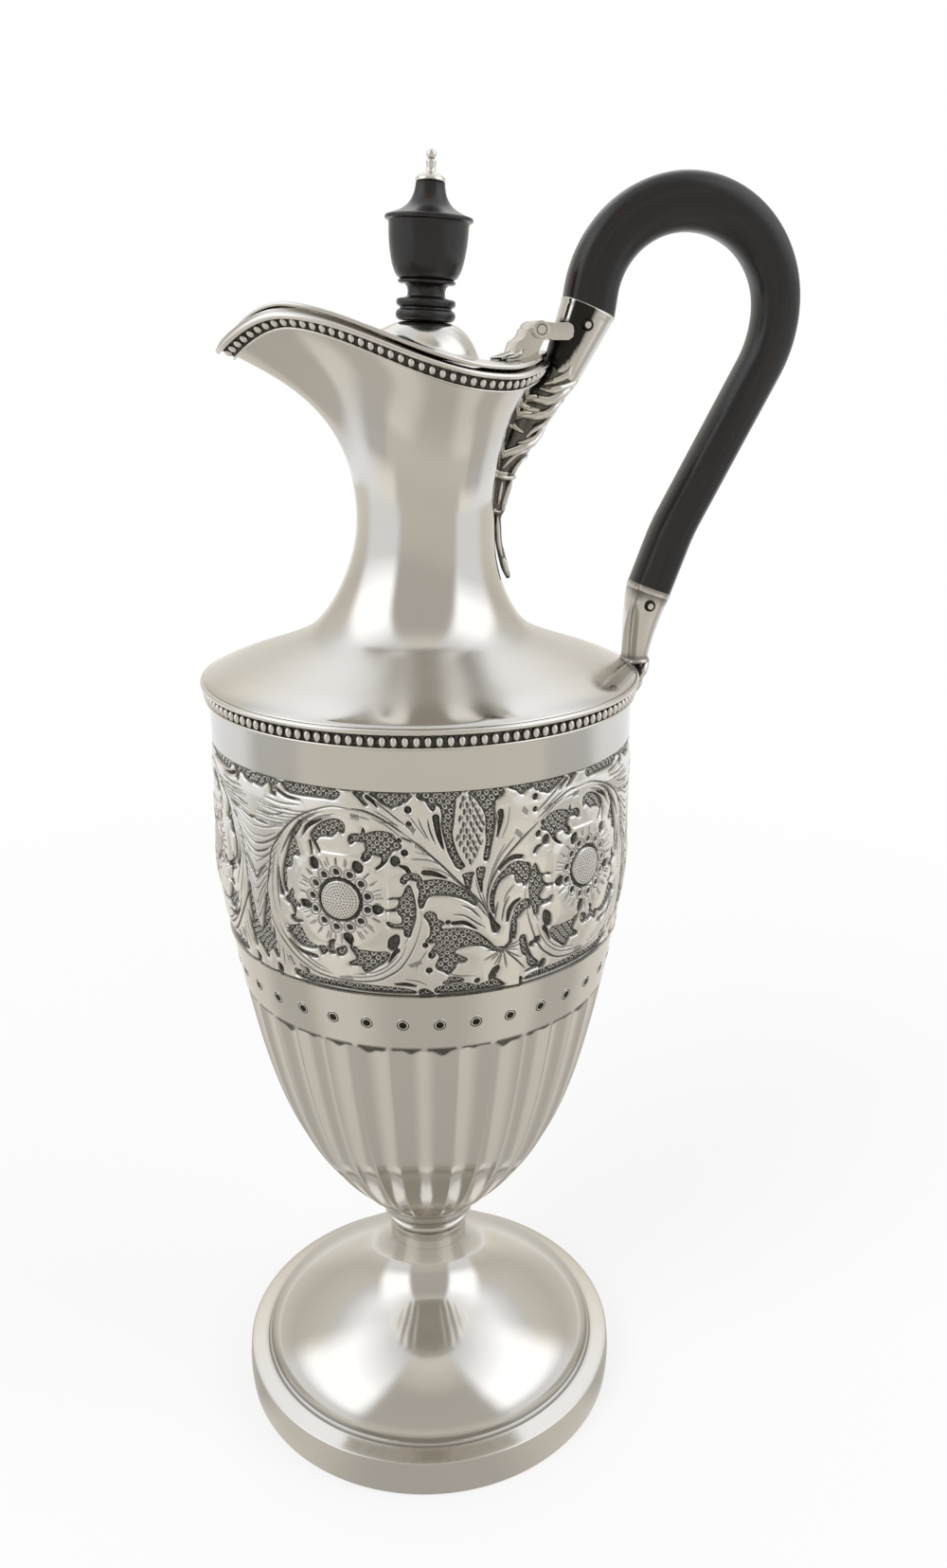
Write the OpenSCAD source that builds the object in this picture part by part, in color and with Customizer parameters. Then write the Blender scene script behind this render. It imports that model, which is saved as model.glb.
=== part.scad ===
// Lidded ewer on a domed foot, with a beaded lip, a hinged lid and a pinned ebony handle.
// Origin: centre of the foot's lower edge. +X points to the handle, -X to the spout, +Z up.

/* [Foot] */
// Radius of the upright band round the foot
foot_r = 53; // [48:0.5:58]
// Height of the upright band
foot_band_h = 11.3; // [8:0.1:14]
// Thickness of the upright band
foot_band_t = 2.2; // [1.6:0.1:3]
// Width of the sloping ledge between the band and the dome
foot_ledge_w = 5.2; // [3:0.1:7]
// Fall of the ledge from the dome to the band
foot_ledge_drop = 1.1; // [0.6:0.1:2]
// Height of the dome and its trumpet above the band
foot_dome_h = 33.5; // [28:0.5:40]
// Radius of the trumpet where the collar stands on it
trumpet_r = 10.9; // [9:0.1:13]

/* [Collar] */
// Height of the collar between the foot and the bowl
collar_h = 13.2; // [11:0.1:16]
// Radius of the collar under the bowl
collar_r = 14.5; // [13:0.1:17]

/* [Body] */
// Thickness of the silver sheet
sheet_t = 1; // [0.8:0.05:1.2]
// Height of the fluted bowl, with its plain band, up to the frieze
bowl_h = 89; // [80:1:98]
// Radius at the lower edge of the frieze
frieze_low_r = 50.6; // [48:0.2:52]
// Height of the chased frieze
frieze_h = 50.6; // [44:0.2:56]
// Radius of the plain band over the frieze
band_r = 52.5; // [51:0.1:54]
// Height of the plain band over the frieze
band_h = 9.5; // [8:0.1:11]

/* [Shoulder] */
// Height of the beaded border round the shoulder
border_h = 4.9; // [4.4:0.1:6]
// Widest reach of that border outside the plain band
border_out = 1.9; // [1.5:0.1:2.4]
// Rise of the shoulder from the border to the neck
shoulder_h = 10; // [8:0.2:12]
// Radius where the neck stands on the shoulder
neck_root_r = 28.6; // [26:0.2:31]

/* [Neck] */
// Height of the neck's waist above the shoulder
waist_h = 28; // [24:0.5:32]
// Radius of the neck's waist
waist_r = 17.4; // [16:0.1:19]
// Lean of the mouth towards the handle
neck_lean = 2.4; // [1.5:0.1:3]

/* [Mouth] */
// Radius of the round part of the mouth
mouth_r = 27.8; // [26:0.1:29]
// Reach of the spout's tip from the centre of the mouth
spout_reach = 46.8; // [44:0.2:50]
// Angle over which the spout opens into the round mouth
spout_spread = 26.5; // [23:0.5:30]
// Height of the lowest part of the lip above the neck's waist
lip_low_h = 31; // [29:0.2:34]
// Rise of the lip from there to its crest over the spout
lip_crest_rise = 13.1; // [11:0.1:15]
// Rise of the spout's tip above the lowest part of the lip
lip_tip_rise = 6.4; // [5:0.1:8]
// Rise of the lip at the handle above its lowest part
lip_back_rise = 3; // [2:0.1:4]
// Width of the beaded strip round the lip
lip_strip_w = 4.7; // [4:0.1:5.4]
// Thickness of that strip at its upper wire
lip_strip_t = 1.3; // [1:0.1:1.6]

/* [Lid] */
// Clear space between the lid and the lip
lid_gap = 0.3; // [0.2:0.05:0.5]
// Thickness of the lid
lid_t = 1; // [0.8:0.05:1.2]
// Crown across the lid
lid_crown = 1.1; // [0.8:0.1:1.6]
// Radius of the lid's raised dome
lid_dome_r = 13; // [12:0.1:14.5]
// Height of the dome's flat top above the lowest part of the lip
lid_dome_h = 12.9; // [11.5:0.1:14.5]

/* [Finial] */
// Height of the ebony urn
urn_h = 29.4; // [26:0.2:32]
// Radius of the urn's rim
urn_rim_r = 10; // [9:0.1:10.5]
// Radius of the urn's foot ring
urn_foot_r = 6.9; // [6:0.1:7.5]
// Radius of the urn's waist
urn_waist_r = 3.8; // [3.5:0.1:4.6]
// Lean of the finial towards the handle
finial_lean = 3; // [0:0.5:4]
// Radius of the silver ball on top
knob_r = 1.1; // [1:0.05:1.5]
// Height of the silver cap up to its ball
cap_h = 6.2; // [5:0.1:7]
// Radius of the threaded rod through the urn
rod_r = 1.1; // [0.9:0.05:1.3]

/* [Hinge] */
// Radius of the hinge pin
pin_r = 0.9; // [0.8:0.02:1]
// Radius of the hinge knuckles
knuckle_r = 2; // [1.8:0.05:2.2]
// Width across the whole hinge
hinge_w = 15.5; // [13:0.1:17]
// Thickness of each of the two outer ears
hinge_ear_t = 1.4; // [1.2:0.05:1.8]
// Height of the hinge pin above the lowest part of the lip
hinge_h = 11.2; // [10:0.1:12.5]
// Distance of the hinge pin inside the back of the mouth
hinge_in = 2.3; // [1.8:0.1:2.8]

/* [Handle] */
// Thickness of the ebony grip at its upper joint, seen from the side
grip_t = 12.5; // [11:0.1:13.5]
// Thickness of its straight limb, seen from the side
limb_t = 10.4; // [9.5:0.1:12]
// Width of the grip across
grip_w = 11.6; // [10:0.1:12.5]
// Radius of the grip's arch along its middle
grip_arch_r = 23.1; // [21:0.1:25]
// Lean of the grip's straight limb from upright
grip_lean = 27.5; // [25:0.5:30]
// Length of the grip's tenons in the sockets
tenon_l = 7; // [6:0.2:8]
// Radius of the cross pins through the sockets
cross_pin_r = 1.1; // [0.9:0.05:1.3]
// Height of the upper joint of the grip above the lowest part of the lip
upper_joint_h = 16.1; // [15:0.1:17]
// Distance of that joint outside the back of the mouth
upper_joint_out = 10.6; // [9.5:0.1:11.5]
// Height of the lower joint of the grip above the shoulder's border
lower_joint_h = 18.9; // [17:0.1:21]

/* [Hidden] */

silver = "gainsboro";
bright = "silver";
ebony = "#2c221d";

// Clearances
seat_gap = 0.05;
strip_gap = 0.1;
run_gap = 0.05;
side_gap = 0.15;
overrun = 1;

// Heights along the axis
dome_top_z = foot_band_h + foot_dome_h;
bowl_z = dome_top_z + collar_h;
frieze_z = bowl_z + bowl_h;
band_z = frieze_z + frieze_h;
border_z = band_z + band_h;
shoulder_z = border_z + border_h;
neck_z = shoulder_z + shoulder_h;
waist_z = neck_z + waist_h;
lip_z = waist_z + lip_low_h;
$fn = 96;

// A point t of the way along a cubic curve with four control points
function curve(a, b, c, d, t) =
    pow(1 - t, 3) * a + 3 * t * pow(1 - t, 2) * b + 3 * t * t * (1 - t) * c + pow(t, 3) * d;
// The same curve's direction, of length one
function slope(a, b, c, d, t) =
    let (v = pow(1 - t, 2) * (b - a) + 2 * t * (1 - t) * (c - b) + t * t * (d - c)) v / norm(v);
// A direction turned a quarter turn, so that it points away from the axis of an upward curve
function outward(v) = [v[1], -v[0]];
function steps(n) = [for (i = [0:n]) i / n];
function mix(a, b, t) = a + (b - a) * t;
corner_steps = 4;

// An outline in the plane of the handle, given a width across
module across(w, points) {
    rotate([90, 0, 0])
        linear_extrude(w, center = true)
            polygon(points);
}

// A flat block with rounded upright edges
module rounded_slab(size_x, size_y, r, h) {
    linear_extrude(h, center = true)
        polygon(rounded_outline(size_x, size_y, r));
}

function rounded_outline(size_x, size_y, r) = [
    for (q = [0:3], t = steps(corner_steps))
        let (a = 90 * (q + t), side = [sign(cos(90 * q + 45)), sign(sin(90 * q + 45))])
        [side[0] * (size_x / 2 - r), side[1] * (size_y / 2 - r)] + r * [cos(a), sin(a)]
];

// Closes a tube of point rings, each ring given as a list of points, round a hollow
function ring_faces(rings, n) = [
    for (k = [0:rings - 1], i = [0:n - 1])
        let (a = k * n + i, b = k * n + (i + 1) % n, c = (k + 1) % rings * n + i, d = (k + 1) % rings * n + (i + 1) % n)
        each [[a, c, b], [b, c, d]]
];

// Foot
ledge_r = foot_r - foot_ledge_w;
ledge_z = foot_band_h + foot_ledge_drop;
band_round = foot_band_t * 0.35;
dome_steep_share = 0.42;
dome_flat_share = 0.5;
trumpet_share = 0.3;
dome_edge_rise = foot_ledge_drop * 0.6;

dome_foot = [ledge_r, ledge_z + dome_edge_rise];
dome_head = [trumpet_r, dome_top_z];
dome_mid = [mix(trumpet_r, ledge_r, 0.4), mix(dome_foot[1], dome_head[1], 0.5)];
dome_mid_run = [ledge_r * 0.26, -foot_dome_h * 0.17];

function dome_line(off) = [
    for (t = steps(12))
        let (c = [dome_foot, dome_foot + [0, foot_dome_h * trumpet_share * dome_steep_share],
                  dome_mid + dome_mid_run, dome_mid])
        curve(c[0], c[1], c[2], c[3], t) + off * outward(slope(c[0], c[1], c[2], c[3], t)),
    for (t = steps(10))
        if (t > 0)
            let (c = [dome_mid, dome_mid - dome_mid_run * dome_flat_share,
                      dome_head - [0, foot_dome_h * trumpet_share], dome_head])
            curve(c[0], c[1], c[2], c[3], t) + off * outward(slope(c[0], c[1], c[2], c[3], t))
];

module foot_rim_band() {
    color(silver)
        rotate_extrude()
            translate([foot_r - foot_band_t, 0]) {
                square([foot_band_t, foot_band_h - band_round]);
                square([foot_band_t - band_round, foot_band_h]);
                translate([foot_band_t - band_round, foot_band_h - band_round])
                    circle(band_round);
            }
}

module foot_dome() {
    inner = foot_r - foot_band_t - seat_gap;
    outer_line = dome_line(0);
    inner_line = dome_line(-sheet_t);
    color(silver)
        rotate_extrude()
            polygon(concat(
                [[inner, foot_band_h - sheet_t - foot_ledge_drop], [inner, foot_band_h], [ledge_r, ledge_z]],
                outer_line,
                [for (i = [len(inner_line) - 1:-1:0]) inner_line[i]],
                [[ledge_r - sheet_t, ledge_z - sheet_t]]));
}

// Collar
collar_lip = collar_h * 0.12;
collar_waist_r = trumpet_r;
collar_ring_r = mix(trumpet_r, collar_r, 0.35);
collar_bore_r = trumpet_r - 2 * sheet_t;

module stem_collar() {
    z0 = dome_top_z + seat_gap;
    top = bowl_z - seat_gap;
    ring_z = mix(z0, top, 0.56);
    color(silver)
        rotate_extrude()
            polygon([
                [collar_bore_r, z0], [collar_waist_r, z0],
                [collar_waist_r, mix(z0, ring_z, 0.55)],
                for (t = steps(6))
                    curve([collar_waist_r, mix(z0, ring_z, 0.6)], [collar_waist_r, ring_z - collar_lip],
                        [collar_ring_r, ring_z - collar_lip], [collar_ring_r, ring_z], t),
                [collar_ring_r, ring_z + collar_lip],
                [mix(collar_ring_r, collar_r, 0.3), ring_z + collar_lip],
                for (t = steps(6))
                    curve([mix(collar_ring_r, collar_r, 0.35), ring_z + collar_lip],
                        [mix(collar_ring_r, collar_r, 0.6), mix(ring_z, top, 0.5)],
                        [collar_r, mix(ring_z, top, 0.6)], [collar_r, top], t),
                [collar_bore_r, top]]);
}

// Body: the bowl's outer line from the collar to the top of the plain band
bowl_lean_share = [0.557, 0.214];
bowl_swell_share = [0.799, 0.424];

function bowl_line(off) = [
    for (t = steps(24))
        let (a = [collar_r, bowl_z], d = [frieze_low_r, frieze_z],
             b = [mix(a[0], d[0], bowl_lean_share[0]), mix(a[1], d[1], bowl_lean_share[1])],
             c = [mix(a[0], d[0], bowl_swell_share[0]), mix(a[1], d[1], bowl_swell_share[1])])
        curve(a, b, c, d, t) + off * outward(slope(a, b, c, d, t))
];

module body_bowl() {
    outer_line = bowl_line(0);
    inner_line = bowl_line(-sheet_t);
    floor_z = bowl_z + sheet_t;
    color(silver)
        rotate_extrude()
            polygon(concat(
                [[0, bowl_z]],
                outer_line,
                [[band_r, band_z], [band_r, border_z], [band_r - sheet_t, border_z], [band_r - sheet_t, band_z]],
                [for (i = [len(inner_line) - 1:-1:0]) if (inner_line[i][1] > floor_z) inner_line[i]],
                [[collar_r - sheet_t, floor_z], [0, floor_z]]));
}

// Border round the shoulder: a strip with a wire at each edge and a channel for the beads between
border_wire_share = 0.13;
border_crown_share = 0.24;

module shoulder_border() {
    low_r = border_h * border_wire_share / 2;
    high_r = border_h * border_crown_share / 2;
    ground = border_out * 0.35;
    back = band_r - sheet_t;
    rebate_r = band_r + border_out / 2 - sheet_t * 0.9;
    rebate_z = shoulder_z - sheet_t;
    color(bright)
        rotate_extrude() {
            polygon([
                [back, border_z + seat_gap], [band_r + ground / 2, border_z + seat_gap],
                [band_r + ground, border_z + 2 * low_r], [band_r + border_out / 2, shoulder_z - 2 * high_r],
                [band_r + border_out / 2, shoulder_z - seat_gap], [rebate_r, shoulder_z - seat_gap],
                [rebate_r, rebate_z], [back, rebate_z]]);
            translate([band_r + ground, border_z + low_r + seat_gap])
                circle(low_r);
            translate([band_r + border_out - high_r, shoulder_z - high_r - seat_gap])
                circle(high_r);
        }
}

// Shoulder: one sheet that rises from the border to the root of the neck
shoulder_r = band_r + border_out / 2;
shoulder_edge_share = 0.12;
shoulder_cone_share = [0.24, 0.6];
root_turn = 29;
root_run = shoulder_h * 0.24;

function shoulder_line(off) = [
    for (t = steps(14))
        let (a = [shoulder_r, shoulder_z], d = [neck_root_r, neck_z],
             b = a + [0, shoulder_h * shoulder_edge_share],
             c = d + root_run * [cos(root_turn), -sin(root_turn)] / sin(root_turn))
        curve(a, b, c, d, t) + off * outward(slope(a, b, c, d, t))
];

module shoulder_cover() {
    outer_line = shoulder_line(0);
    inner_line = shoulder_line(-sheet_t);
    color(silver)
        rotate_extrude()
            polygon(concat(
                outer_line,
                [[inner_line[len(inner_line) - 1][0], neck_z]],
                [for (i = [len(inner_line) - 2:-1:1]) inner_line[i]],
                [[shoulder_r - sheet_t, shoulder_z]]));
}

// Neck and mouth. The angle is measured round the neck from the spout.
neck_steps = 9;
flare_steps = 13;
neck_sides = 60;
spout_bunch = 34;
spout_power = 1.5;
lip_side_lean = 72;
lip_spout_lean = 28;
lip_lean_spread = 30;
flare_rise_share = 0.67;
flare_run_share = 0.28;
neck_run_share = 0.5;
bead_line_share = 0.47;

function spout_angle(i, n) = let (a = i * 360 / n - 180) a - spout_bunch * sin(a);
function spout_bump(a) = exp(-pow(abs(a) / spout_spread, spout_power));
function lip_lean(a) = lip_side_lean - (lip_side_lean - lip_spout_lean) * exp(-pow(a / lip_lean_spread, 2));
// The line of the beads in plan, and its height
function bead_r(a) = mix(mouth_r, spout_reach, spout_bump(a));
function bead_x(a) = neck_lean - bead_r(a) * cos(a);
crest_x = neck_lean - 0.725 * spout_reach;
low_x = neck_lean + 0.56 * mouth_r;
tip_x = neck_lean - spout_reach;
back_x = neck_lean + mouth_r;
function part_way(x, a, b) = max(0, min(1, (x - a) / (b - a)));
function lip_height(x) =
    x < crest_x ? lip_z + mix(lip_tip_rise, lip_crest_rise, sin(90 * pow(part_way(x, tip_x, crest_x), 0.9)))
    : x < low_x ? lip_z + lip_crest_rise * (1 + cos(180 * pow(part_way(x, crest_x, low_x), 0.85))) / 2
    : lip_z + lip_back_rise * (1 - cos(90 * part_way(x, low_x, back_x)));
function lip_way(a) = [cos(lip_lean(a)), sin(lip_lean(a))];
// The upper edge of the neck's wall
function lip_edge(a) = [bead_r(a) - strip_gap - lip_strip_t * 0.7, lip_height(bead_x(a))]
    + lip_strip_w * bead_line_share * lip_way(a);

function flare_curve(a) =
    let (top = lip_edge(a), foot = [waist_r, waist_z], run = norm(top - foot) * flare_run_share)
    [foot, foot + [0, (top[1] - waist_z) * flare_rise_share], top - run * lip_way(a), top];
function root_curve() =
    let (foot = [neck_root_r, neck_z], top = [waist_r, waist_z])
    [foot, foot + root_run * [-cos(root_turn), sin(root_turn)] / sin(root_turn), top - [0, waist_h * neck_run_share], top];
function along(c, t, off) =
    curve(c[0], c[1], c[2], c[3], t) + off * outward(slope(c[0], c[1], c[2], c[3], t));
function lean_at(z) = neck_lean * (1 - cos(180 * part_way(z, neck_z, waist_z))) / 2;
function around(p, a) = [lean_at(p[1]) - p[0] * cos(a), -p[0] * sin(a), p[1]];

function neck_ring(k, off) =
    k <= neck_steps
    ? [for (i = [0:neck_sides - 1]) around(along(root_curve(), k / neck_steps, off), spout_angle(i, neck_sides))]
    : [for (i = [0:neck_sides - 1])
        let (a = spout_angle(i, neck_sides)) around(along(flare_curve(a), (k - neck_steps) / flare_steps, off), a)];

// The foot of the neck is flat, so its first ring keeps the height of the shoulder's edge
function level(ring, z) = [for (p = ring) [p[0], p[1], z]];

module neck_and_spout() {
    last = neck_steps + flare_steps;
    z0 = neck_z + seat_gap;
    rings = concat(
        [level(neck_ring(0, 0), z0)],
        [for (k = [1:last]) neck_ring(k, 0)],
        [for (k = [last:-1:1]) neck_ring(k, -sheet_t)],
        [level(neck_ring(0, -sheet_t), z0)]);
    color(silver)
        polyhedron([for (r = rings) each r], ring_faces(len(rings), neck_sides), convexity = 6);
}

// Strip round the lip. Its section runs down the wall from the lip, in shares of its width and thickness.
strip_sides = 120;
strip_down_share = [0, 0, 0.12, 0.24, 0.3, 0.78, 0.84, 0.97, 1];
strip_out_share = [0, 0.7, 1, 0.85, 0.3, 0.3, 0.75, 0.7, 0];

function strip_point(a, down, out) =
    let (c = flare_curve(a), t = 1 - down * lip_strip_w / (3 * norm(c[3] - c[2])))
    around(along(c, t, strip_gap + out * lip_strip_t), a);

module lip_border() {
    rings = [for (k = [0:len(strip_down_share) - 1])
        [for (i = [0:strip_sides - 1])
            strip_point(spout_angle(i, strip_sides), strip_down_share[k], strip_out_share[k])]];
    color(bright)
        polyhedron([for (r = rings) each r], [for (f = ring_faces(len(rings), strip_sides)) [f[0], f[2], f[1]]],
            convexity = 6);
}

// The neck's outer line at the handle side, kept clear by what is soldered to it
function back_line(off) = concat(
    [for (t = steps(neck_steps)) let (p = along(root_curve(), t, off)) [p[0] + lean_at(p[1]) - neck_lean, p[1]]],
    [for (t = steps(flare_steps)) if (t > 0) along(flare_curve(180), t, off)]);

module neck_clearance() {
    strip_low = lip_z - lip_strip_w / 2;
    strip_out = mouth_r + lip_strip_t;
    translate([neck_lean, 0, 0])
        rotate_extrude() {
            polygon(concat(
                [[0, neck_z], [neck_root_r, neck_z]],
                back_line(strip_gap),
                [[0, lip_z + lip_strip_w]]));
            translate([0, strip_low])
                square([strip_out, lip_back_rise + lip_strip_w + lid_gap]);
        }
}

// Handle: places in the plane of the handle, as [x, z]
upper_joint = [back_x + upper_joint_out, lip_z + upper_joint_h];
upper_tilt = 22;
upper_lean = 8;
lower_tilt = 20;
lower_joint_z = shoulder_z + lower_joint_h;
grip_bend_r = grip_arch_r * 1.3;
grip_foot_r = grip_arch_r * 2.4;
grip_round = limb_t * 0.34;
arch_end_t = mix(grip_t, limb_t, 0.8);
lower_t = limb_t * 1.02;
grip_head = grip_t * 0.27;
grip_tail = grip_t * 0.93;

arch_start = upper_joint + grip_head * [sin(upper_lean), cos(upper_lean)];
arch_centre = arch_start + grip_arch_r * [cos(upper_lean), -sin(upper_lean)];
arch_end = arch_centre + [grip_arch_r, 0];
bend_centre = arch_end - [grip_bend_r, 0];
limb_start = bend_centre + grip_bend_r * [cos(grip_lean), -sin(grip_lean)];
foot_turn = grip_foot_r * ([cos(grip_lean), -sin(grip_lean)] - [cos(lower_tilt), -sin(lower_tilt)]);
foot_way = [-sin(lower_tilt), -cos(lower_tilt)];
limb_l = (limb_start[1] - lower_joint_z + foot_turn[1] + grip_tail * foot_way[1]) / cos(grip_lean);
limb_end = limb_start - limb_l * [sin(grip_lean), cos(grip_lean)];
foot_centre = limb_end + grip_foot_r * [cos(grip_lean), -sin(grip_lean)];
lower_joint = limb_end + foot_turn + grip_tail * foot_way;

// Stations along the grip's middle: a point, the direction to the inside of the bend, and a thickness
function arc_stations(centre, r, from, to, first, n, inward, t_from, t_to) = [
    for (i = [first:n])
        let (a = mix(from, to, i / n), out = [cos(a), sin(a)])
        [centre + r * out, inward * out, mix(t_from, t_to, i / n)]
];

grip_stations = concat(
    [[upper_joint, [cos(upper_tilt), -sin(upper_tilt)], grip_t / cos(upper_tilt - upper_lean)]],
    arc_stations(arch_centre, grip_arch_r, 180 - upper_lean, 0, 0, 18, -1, grip_t, arch_end_t),
    arc_stations(bend_centre, grip_bend_r, 0, -grip_lean, 1, 4, -1, arch_end_t, limb_t),
    arc_stations(foot_centre, grip_foot_r, 180 - grip_lean, 180 - lower_tilt, 0, 3, 1, limb_t, lower_t),
    [[lower_joint, [-cos(lower_tilt), sin(lower_tilt)], lower_t]]);

// Places a child, drawn with its length along +Z, at a point of the handle's plane
module placed(at, turn) {
    translate([at[0], 0, at[1]])
        rotate([0, turn, 0])
            children();
}

// A block of half the grip's section; the room for it in a socket is wider and longer
module tenon(joint, turn, room) {
    placed(joint, turn)
        translate([0, 0, -tenon_l / 2])
            cube([limb_t / 2 + room, grip_w / 2 + room, tenon_l + 2 * seat_gap + room], center = true);
}

function pin_place(joint, turn) = joint - tenon_l * 0.6 * [sin(turn), cos(turn)];

module cross_pin(joint, turn, r, l) {
    p = pin_place(joint, turn);
    translate([p[0], 0, p[1]])
        rotate([90, 0, 0])
            cylinder(r = r, h = l, center = true);
}

module handle_grip() {
    rings = [
        for (s = grip_stations)
            [for (p = rounded_outline(s[2], grip_w, grip_round))
                [s[0][0] + p[0] * s[1][0], -p[1], s[0][1] + p[0] * s[1][1]]]];
    n = len(rings[0]);
    last = (len(rings) - 1) * n;
    side = [for (f = ring_faces(len(rings), n)) if (!(max(f) >= last && min(f) < n)) [f[0], f[2], f[1]]];
    color(ebony)
        difference() {
            union() {
                polyhedron(
                    [for (r = rings) each r],
                    concat(side, [[for (i = [n - 1:-1:0]) i], [for (i = [0:n - 1]) last + i]]),
                    convexity = 4);
                tenon(upper_joint, upper_tilt, 0);
                tenon(lower_joint, lower_tilt, 0);
            }
            cross_pin(upper_joint, upper_tilt, cross_pin_r + seat_gap, grip_w + overrun);
            cross_pin(lower_joint, lower_tilt, cross_pin_r + seat_gap, grip_w + overrun);
        }
}

// Upper socket: from the grip down to the leaf on the neck
slab = sheet_t;
leaf_split = [upper_joint[0] - grip_t * 0.44, upper_joint[1] - grip_t * 1.09];
leaf_tilt = 33;
socket_foot_t = grip_t * 0.66;
socket_foot_w = grip_w * 0.95;

module upper_socket() {
    color(silver)
        difference() {
            hull() {
                placed(upper_joint, upper_tilt)
                    translate([0, 0, -slab / 2 - seat_gap])
                        rounded_slab(grip_t / cos(upper_tilt - upper_lean), grip_w, grip_round, slab);
                placed(leaf_split, leaf_tilt)
                    translate([0, 0, slab / 2 + seat_gap])
                        rounded_slab(socket_foot_t, socket_foot_w, grip_round, slab);
            }
            tenon(upper_joint, upper_tilt, 2 * seat_gap);
            cross_pin(upper_joint, upper_tilt, cross_pin_r, 2 * grip_w);
            neck_clearance();
            lug_block(seat_gap);
        }
}

module upper_socket_pin() {
    color(bright)
        cross_pin(upper_joint, upper_tilt, cross_pin_r - seat_gap, grip_w + sheet_t);
}

// Leaf on the back of the neck: its outer line in the handle's plane and half its width, going down
leaf_drop_share = [0, 0.076, 0.163, 0.278, 0.371, 0.46, 0.56, 0.643, 0.765, 0.86, 1];
leaf_out_share = [1.05, 0.95, 0.86, 0.7, 0.52, 0.34, 0.25, 0.2, 0.15, 0.15, 0.1];
leaf_half_share = [0.48, 0.56, 0.6, 0.58, 0.5, 0.38, 0.27, 0.2, 0.14, 0.14, 0.05];
leaf_l = waist_h * 1.72;
leaf_reach = grip_t * 0.66;

function back_surface(z) =
    let (line = back_line(0)) neck_lean + lookup(z, [for (p = line) [p[1], p[0]]]);

module neck_leaf() {
    n = len(leaf_drop_share) - 1;
    top = leaf_split[1] + socket_foot_t / 3;
    function leaf_z(i) = leaf_split[1] - leaf_drop_share[i] * leaf_l;
    color(bright)
        difference() {
            intersection() {
                across(2 * grip_w, concat(
                    [[neck_lean, top]],
                    [for (i = [0:n]) [back_surface(leaf_z(i)) + leaf_reach * leaf_out_share[i], leaf_z(i)]],
                    [[neck_lean, leaf_z(n)]]));
                rotate([90, 0, 90])
                    linear_extrude(2 * back_x)
                        polygon(concat(
                            [[grip_w * leaf_half_share[0], top]],
                            [for (i = [0:n]) [grip_w * leaf_half_share[i], leaf_z(i)]],
                            [for (i = [n:-1:0]) [-grip_w * leaf_half_share[i], leaf_z(i)]],
                            [[-grip_w * leaf_half_share[0], top]]));
            }
            neck_clearance();
            placed(leaf_split, leaf_tilt)
                translate([0, 0, grip_t])
                    cube([4 * grip_t, 2 * grip_w, 2 * grip_t], center = true);
        }
}

// Lower socket: from the grip down to the shoulder's edge, and the leaf that hangs over the border
foot_x = shoulder_r + border_out * 1.1;
lower_foot_t = limb_t * 0.64;
lower_foot_w = grip_w * 0.76;

module shoulder_clearance() {
    rotate_extrude() {
        polygon(concat(
            [[0, border_z]],
            [[shoulder_r + seat_gap, border_z]],
            shoulder_line(seat_gap),
            [[0, neck_z]]));
        translate([0, border_z - seat_gap])
            square([band_r + border_out + seat_gap, border_h + 2 * seat_gap]);
        square([band_r + seat_gap, border_z]);
    }
}

module lower_socket() {
    color(silver)
        difference() {
            hull() {
                placed(lower_joint, lower_tilt)
                    translate([0, 0, -slab / 2 - seat_gap])
                        rounded_slab(lower_t, grip_w, grip_round, slab);
                translate([foot_x, 0, shoulder_z + slab / 2 + seat_gap])
                    rounded_slab(lower_foot_t, lower_foot_w, lower_foot_t / 3, slab);
            }
            tenon(lower_joint, lower_tilt, 2 * seat_gap);
            cross_pin(lower_joint, lower_tilt, cross_pin_r, 2 * grip_w);
            shoulder_clearance();
        }
}

module lower_socket_pin() {
    color(bright)
        cross_pin(lower_joint, lower_tilt, cross_pin_r - seat_gap, grip_w + sheet_t);
}

drop_l = border_h + band_h;
drop_share = [0, 0.25, 0.5, 0.75, 0.92, 1];
drop_out_share = [1, 0.86, 0.72, 0.52, 0.32, 0.12];
drop_half_share = [0.9, 1, 0.84, 0.56, 0.36, 0.16];

module shoulder_leaf() {
    n = len(drop_share) - 1;
    top = shoulder_z;
    reach = foot_x + lower_foot_t / 2 - band_r;
    function drop_z(i) = top - drop_share[i] * drop_l;
    color(bright)
        difference() {
            intersection() {
                across(2 * grip_w, concat(
                    [[band_r - border_out, top]],
                    [for (i = [0:n]) [band_r + reach * drop_out_share[i], drop_z(i)]],
                    [[band_r - border_out, drop_z(n)]]));
                rotate([90, 0, 90])
                    linear_extrude(2 * foot_x)
                        polygon(concat(
                            [for (i = [0:n]) [lower_foot_w / 2 * drop_half_share[i], drop_z(i)]],
                            [for (i = [n:-1:0]) [-lower_foot_w / 2 * drop_half_share[i], drop_z(i)]]));
            }
            shoulder_clearance();
        }
}

// Hinge
hinge_at = [back_x - hinge_in, lip_z + hinge_h];
ear_in = hinge_w / 2 - hinge_ear_t;
lug_t = 2 * knuckle_r;
lug_end = upper_joint[0] - grip_t * 0.42;
lug_side_end = lug_end - 1.4 * knuckle_r;
lug_low = hinge_at[1] - knuckle_r * 1.2;
lug_cut = knuckle_r * 0.6;
lug_start = hinge_at[0] + knuckle_r + 2 * side_gap;

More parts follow.
